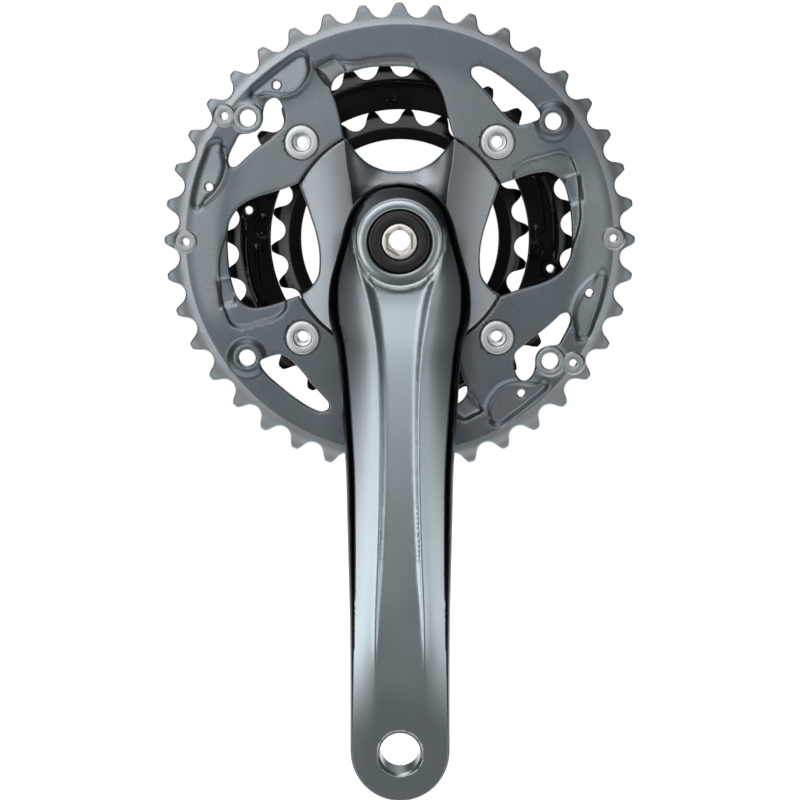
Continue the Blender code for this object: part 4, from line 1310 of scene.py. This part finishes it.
@dataclass
class Spider:
    """The four legs behind the arm's head, with the tabs and standoffs that carry the rings."""

    face: float = 22.0
    back: float = 14.0
    seam: float = 39.9
    right_hollow: tuple = ((34.9, -19.3), (31.4, -16.6), (28.6, -12.6), (28.0, -8), (28.2, -3), (29.4, 3),
                           (31, 8), (33, 14), (34.9, 19.3))
    top_hollow: tuple = ((18.9, 35.1), (13.6, 28.8), (10.4, 26.3), (5, 24.2), (0, 23.8), (-5, 24.2),
                         (-10.4, 26.3), (-13.6, 28.8), (-18.9, 35.1))
    crease: tuple = ((19.4, 37.5), (18.9, 32), (18.2, 25), (17.2, 20), (16.2, 12), (15.6, 4))
    tab_face: float = 18.1
    tab_back: float = 13.8
    tab_half: float = 8.2
    standoff: float = 6.6

    def outline(self) -> Array:
        """The visible legs, out to the seam with the big ring's tabs."""
        right = spline(self.right_hollow, False)
        top = spline(self.top_hollow, False)
        angle = [math.degrees(math.atan2(z, x)) for x, z in (right[-1], top[0])]
        upper = arc(self.seam, angle[0], angle[1])[1:-1]
        above = np.vstack([upper, top, upper[::-1] * (-1, 1)])
        return np.vstack([right, above, right[::-1] * (-1, 1), above[::-1] * (1, -1)])

    def front(self, points: Array, depth: Array) -> Array:
        """The outboard face: on each leg a bright outer facet and a steeper inner one, met at a crease."""
        p = np.abs(points)
        line = np.asarray(self.crease, float)
        crease = np.interp(p[:, 1], line[::-1, 1], line[::-1, 0])
        outward = p[:, 0] - crease
        upper = ramp(points[:, 1], -4, 6)
        h = self.face - 0.05 * np.clip(outward, 0, 30) - 0.004 * np.clip(outward, 0, 30) ** 2
        inward = np.clip(-outward, 0, 20)
        h -= upper * 2.4 * (1 - np.exp(-inward / 4.0))
        h -= 0.22 * np.clip(points[:, 1] - 19, 0, 20) * ramp(-p[:, 0], -15, -5)
        h -= 0.5 * ramp(-p[:, 0], -24, -14) * (1 - upper)
        return h - rounding(depth, 0.5)

    def rear(self, points: Array, depth: Array) -> Array:
        """The inboard face."""
        return self.back + rounding(depth, 0.8)

    def marks(self) -> list[Array]:
        """Points along the creases."""
        line = spline(self.crease, False, 0.7)
        return [line + (d, 0) for d in (-0.25, 0, 0.25)] + [line * (-1, 1) + (d, 0) for d in (-0.25, 0, 0.25)]

    def tab(self) -> Shell:
        """The end of one leg, behind the big ring."""
        start = np.array([30.0, 0.0])
        bolt = np.array([BOLT_CIRCLE_RADIUS, 0.0])
        end = bolt + polar(self.tab_half, np.linspace(-90, 90, 24))
        sides = [start + (0, -self.tab_half), *end, start + (0, self.tab_half)]
        relief = Relief(
            np.array(sides),
            [circle(bolt, 5.25)],
            lambda p, d: self.tab_face - rounding(d, 0.5),
            lambda p, d: self.tab_back + rounding(d, 0.5),
            grid=2.0,
        )
        return relief.shell()

    def build(self) -> None:
        """Makes the legs, their tabs and the standoffs of the inner ring."""
        body = Relief(self.outline(), [circle((0, 0), 12.0)], self.front, self.rear, marks=self.marks(), wall_rows=2)
        show("spider_legs", dressed("spider_legs", body.shell(), LEGS))
        finish = FORGED.material()
        show("spider_tabs", around("spider_tabs", self.tab(), 4, finish, 45))
        post = turned(
            [(4.2, 15), (self.standoff, 15), (self.standoff, 5.8), (4.2, 5.8)],
            (INNER_BOLT_CIRCLE_RADIUS, 0), 32, soften=0.3,
        )
        show("spider_standoffs", around("spider_standoffs", post, 4, finish, 45))


# ---- hub and fasteners -------------------------------------------------------------------------------------


@dataclass
class Hub:
    """The sleeve about the spindle, with the seat for the extractor cap at its outboard end."""

    outside: float = 17.5
    sleeve_top: float = 15.0
    land: float = 14.1
    land_top: float = 37.5
    recess: float = 11.05
    shoulder: float = 29.5
    shoulder_hole: float = 8.0
    socket: float = 10.9
    socket_depth: float = 23.5

    def build(self) -> None:
        """Makes the sleeve in one turned piece."""
        profile = [
            (self.recess + 0.5, self.land_top),
            (self.land, self.land_top - 0.1),
            (self.land, 16.0),
            (self.outside, self.sleeve_top),
            (self.outside, 0.0),
            (self.socket + 0.6, 0.0),
            (self.socket, 0.6),
            (self.socket, self.socket_depth),
            (self.shoulder_hole, self.socket_depth),
            (self.shoulder_hole, self.shoulder),
            (self.recess, self.shoulder),
            (self.recess, self.land_top - 0.5),
        ]
        shell = turned(profile, segments=96, soften=0.25)
        show("hub_sleeve", dressed("hub_sleeve", shell, FORGED))


@dataclass
class CrankBolt:
    """The hollow bolt, with the cap that keeps it captive; the washer under its flange keeps its CAD shape."""

    head: float = 6.4
    head_top: float = 36.4
    flange: float = 9.6
    flange_top: float = 33.5
    under: float = 31.1
    shank: float = 7.4
    tip: float = 13.1
    bore: float = 3.9
    across_flats: float = 8.0
    hex_depth: float = 8.0
    cap_top: float = 36.8
    cap_radius: float = 10.75
    cap_bore: float = 6.7

    def hexagon(self, degrees: Array) -> Array:
        """Radius of the hexagonal socket at each angle, its corners up and down."""
        across = (degrees + 30.0) % 60 - 30
        return self.across_flats / 2 / np.cos(np.radians(across))

    def build(self) -> None:
        """Makes the bolt on its own body, and the cap on the crank's."""
        bottom = self.head_top - self.hex_depth
        profile = [
            (0, self.head_top - 0.7),
            (-0.7, self.head_top),
            (self.head - 0.5, self.head_top),
            (self.head, self.head_top - 0.5),
            (self.head, self.flange_top),
            (self.flange, self.flange_top),
            (self.flange, self.under),
            (self.shank, self.under),
            (self.shank, self.tip + 0.8),
            (self.shank - 0.8, self.tip),
            (self.bore, self.tip),
            (self.bore, bottom),
            (0, bottom),
        ]
        bolt = turned(profile, segments=72, bore=self.hexagon, soften=0.2)
        show("crank_bolt_detail", dressed("crank_bolt", bolt, NICKEL), ["crank_bolt"], BOLT_BODY, 30)
        back = self.flange_top + 0.25
        cap = [
            (self.cap_bore, self.cap_top),
            (9.3, self.cap_top),
            (9.6, self.cap_top - 0.25),
            (self.cap_radius - 0.3, self.cap_top - 0.25),
            (self.cap_radius, self.cap_top - 0.6),
            (self.cap_radius, back),
            (self.cap_bore, back),
        ]
        shell = turned(cap, segments=96, soften=0.12)
        show("extractor_cap_detail", dressed("cap", shell, RESIN), ["extractor_cap"])


@dataclass
class RingFasteners:
    """Bolts, sleeve nuts and pins of the three rings."""

    bolt_head: float = 5.9
    bolt_top: float = 23.25
    bolt_seat: float = 22.0
    sleeve: float = 5.0
    flange: float = 6.6
    outer_pins: tuple[tuple[float, float], ...] = ((68.5, 128.4), (74.3, 144.6), (68.7, 164.4), (74.4, 180.4))
    middle_pins: tuple[tuple[float, float], ...] = ((53.9, 169.0),)

    def pin(self, radius: float, angle: float, back: float, face: float) -> Shell:
        """One hollow rivet with a round head inboard."""
        profile = [
            (PIN_BORE, face),
            (PIN_RADIUS, face),
            (PIN_RADIUS, back - 0.05),
            (3.1, back - 0.05),
            (2.5, back - 1.75),
            (PIN_BORE, back - 1.75),
        ]
        return turned(profile, polar(radius, angle), 24, soften=0.25)

    def build(self) -> None:
        """Makes each kind once and repeats it about the spindle."""
        bolt = turned(
            [
                (3.1, self.bolt_top - 0.4), (3.4, self.bolt_top), (self.bolt_head - 0.3, self.bolt_top - 0.1),
                (self.bolt_head, self.bolt_top - 0.45), (self.bolt_head, self.bolt_seat), (3.9, self.bolt_seat),
                (3.9, 10.3), (2.1, 10.3), (2.1, self.bolt_top - 3.4), (3.1, self.bolt_top - 3.4),
            ],
            (BOLT_CIRCLE_RADIUS, 0), 48, soften=0.18,
        )
        finish = PLATED.material()
        names = [f"chainring_bolt_{i}" for i in range(1, 5)]
        show("chainring_bolts", around("chainring_bolts", bolt, 4, finish, 45), names)
        nut = turned(
            [
                (4.2, 21.4), (self.sleeve, 21.4), (self.sleeve, 10.2), (self.flange, 10.2),
                (self.flange, 8.9), (4.2, 8.9),
            ],
            (BOLT_CIRCLE_RADIUS, 0), 40, soften=0.2,
        )
        names = [f"chainring_nut_{i}" for i in range(1, 5)]
        show("chainring_nuts", around("chainring_nuts", nut, 4, finish, 45), names)
        tip = 0.0005
        inner = turned(
            [
                (tip, 11.5), (3.4, 11.5), (3.9, 11.0), (3.9, 2.2), (6.2, 2.2), (6.2, 0.7), (5.6, 0.1), (-0.4, 0.1),
                (0, 0.5), (0, 3.6), (tip, 3.6),
            ],
            (INNER_BOLT_CIRCLE_RADIUS, 0), 48, lambda a: 2.5 / np.cos(np.radians((a + 30) % 60 - 30)), 0.2,
        )
        names = [f"inner_ring_bolt_{i}" for i in range(1, 5)]
        show("inner_ring_bolts", around("inner_ring_bolts", inner, 4, finish, 45), names)
        for label, pins, back, face in (
            ("outer_shift_pins", self.outer_pins, 18.4, 20.4), ("middle_shift_pins", self.middle_pins, 10.5, 13.0)
        ):
            shell = self.pin(*pins[0], back, face)
            for radius, angle in pins[1:]:
                shell = shell.joined(self.pin(radius, angle, back, face))
            names = [f"{label[:-1]}_{i}" for i in range(1, 2 * len(pins) + 1)]
            show(label, around(label, shell, 2, finish), names)


class Studio:
    """The pale floor, the soft lights and the camera."""

    camera_place = (0.0042, -0.91466, 0.03008)
    camera_down = 0.0960
    camera_left = 0.0045
    camera_roll = 0.0016
    lens = 115.3
    floor_height = -0.32

    def area(self, name: str, at: Sequence[float], size: tuple[float, float], power: float) -> None:
        """A rectangular softbox aimed at the middle of the crankset."""
        light = bpy.data.lights.new(name, "AREA")
        light.shape = "RECTANGLE"
        light.size, light.size_y = size
        light.energy = power
        made = bpy.data.objects.new(name, light)
        made.location = at
        aim = Vector((0, -0.02, -0.05)) - Vector(at)
        made.rotation_euler = aim.to_track_quat("-Z", "Y").to_euler()
        bpy.context.scene.collection.objects.link(made)

    def build(self) -> None:
        """Makes the floor, world, lights and camera."""
        scene = bpy.context.scene
        scene.view_settings.view_transform = "Standard"
        camera = bpy.data.objects.new("camera", bpy.data.cameras.new("camera"))
        camera.data.lens = self.lens
        camera.data.sensor_width = 36
        camera.location = self.camera_place
        camera.rotation_euler = Euler((math.pi / 2 - self.camera_down, self.camera_roll, self.camera_left))
        camera.data.clip_end = 20
        scene.collection.objects.link(camera)
        scene.camera = camera
        self.floor()
        self.world(scene)
        self.area("high_front", (-0.3, -1.5, 0.48), (1.2, 0.5), 5.8)
        self.area("left", (-0.37, -0.92, -0.13), (0.24, 0.34), 0.95)
        self.area("right", (0.39, -0.92, -0.14), (0.24, 0.34), 0.68)
        self.area("top", (-0.3, -0.4, 1.0), (1.2, 0.4), 4)
        self.area("behind", (0.3, 1.2, 0.8), (1.4, 0.8), 8)

    def floor(self) -> None:
        """A large pale floor, well below the hanging arm."""
        shape = bmesh.new()
        bmesh.ops.create_grid(shape, x_segments=2, y_segments=2, size=3)
        mesh = bpy.data.meshes.new("floor")
        shape.to_mesh(mesh)
        shape.free()
        made = place("floor", mesh)
        made.location = (0, 2.7, self.floor_height)
        paper = bpy.data.materials.new("white_paper_sweep")
        paper.use_nodes = True
        shader = paper.node_tree.nodes["Principled BSDF"]
        shader.inputs["Base Color"].default_value = linear("#f4f4f4")
        shader.inputs["Roughness"].default_value = 0.9
        shader.inputs["Emission Color"].default_value = (1, 1, 1, 1)
        shader.inputs["Emission Strength"].default_value = 0.95
        mesh.materials.append(paper)

    def world(self, scene: bpy.types.Scene) -> None:
        """White behind the object, and a softer grey that lights it."""
        world = bpy.data.worlds.new("studio")
        scene.world = world
        world.use_nodes = True
        tree = world.node_tree
        tree.nodes.clear()
        seen = add_node(tree, "ShaderNodeBackground", {"Color": (1, 1, 1, 1), "Strength": 1.0})
        fill = add_node(tree, "ShaderNodeBackground", {"Color": (0.97, 0.99, 1, 1), "Strength": 0.10})
        path = add_node(tree, "ShaderNodeLightPath")
        mixed = add_node(
            tree,
            "ShaderNodeMixShader",
            links={0: path.outputs["Is Camera Ray"], 1: fill.outputs[0], 2: seen.outputs[0]},
        )
        add_node(tree, "ShaderNodeOutputWorld", links={0: mixed.outputs[0]})


def dress_hidden_nodes() -> None:
    """Gives the CAD pieces that are shown as they are their finish."""
    finishes = {"bolt_washer": COATED, "chain_drop_pin": PLATED}
    for node, finish in finishes.items():
        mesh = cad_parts[node].data
        mesh.materials.clear()
        mesh.materials.append(finish.material())
        LOG.info("%s keeps its CAD shape", node)


def main() -> None:
    """Builds every piece of the crankset, then the studio."""
    TREES["around"] = polar_array_tree()
    fasteners = RingFasteners()
    OuterRing(
        "outer_chainring", 40, 0.0, 20.0, 18.4, 22.4, 2.5, 0.0, BOLT_CIRCLE_RADIUS, 5.15, 0.0, "anodised_ring",
        PRESSED, TEETH, edge_round=0.6, pins=fasteners.outer_pins,
    ).build()
    Chainring(
        "middle_chainring", 30, -1.0, 12.0, 10.5, 13.5, 1.2, 45.4, BOLT_CIRCLE_RADIUS, 5.15, 7.6, "black_steel",
        pins=fasteners.middle_pins, ridge=55.4,
        ribs=(
            ((47.5, 21.5), (49.2, 16.5), (50.0, 11.0), (50.4, 3.0)),
            ((49.8, 22.0), (51.8, 17.0), (53.2, 11.0), (54.0, 3.0), (53.8, -3.5)),
            ((46.8, -7.0), (46.6, -3.0), (48.2, -1.0), (49.9, -2.2), (49.6, -5.4), (48.2, -7.8)),
            ((-47.6, -3.4), (-47.2, 0.6)),
            ((-4.6, 48.6), (-2.4, 48.6)),
        ),
    ).build()
    Chainring(
        "inner_chainring", 22, 4.3, 4.0, 2.5, 5.5, 1.2, 35.0, INNER_BOLT_CIRCLE_RADIUS, 4.15, 7.6, "black_steel",
    ).build()
    Spider().build()
    CrankArm().build()
    Hub().build()
    CrankBolt().build()
    fasteners.build()
    dress_hidden_nodes()
    Studio().build()


if __name__ == "__main__":
    main()
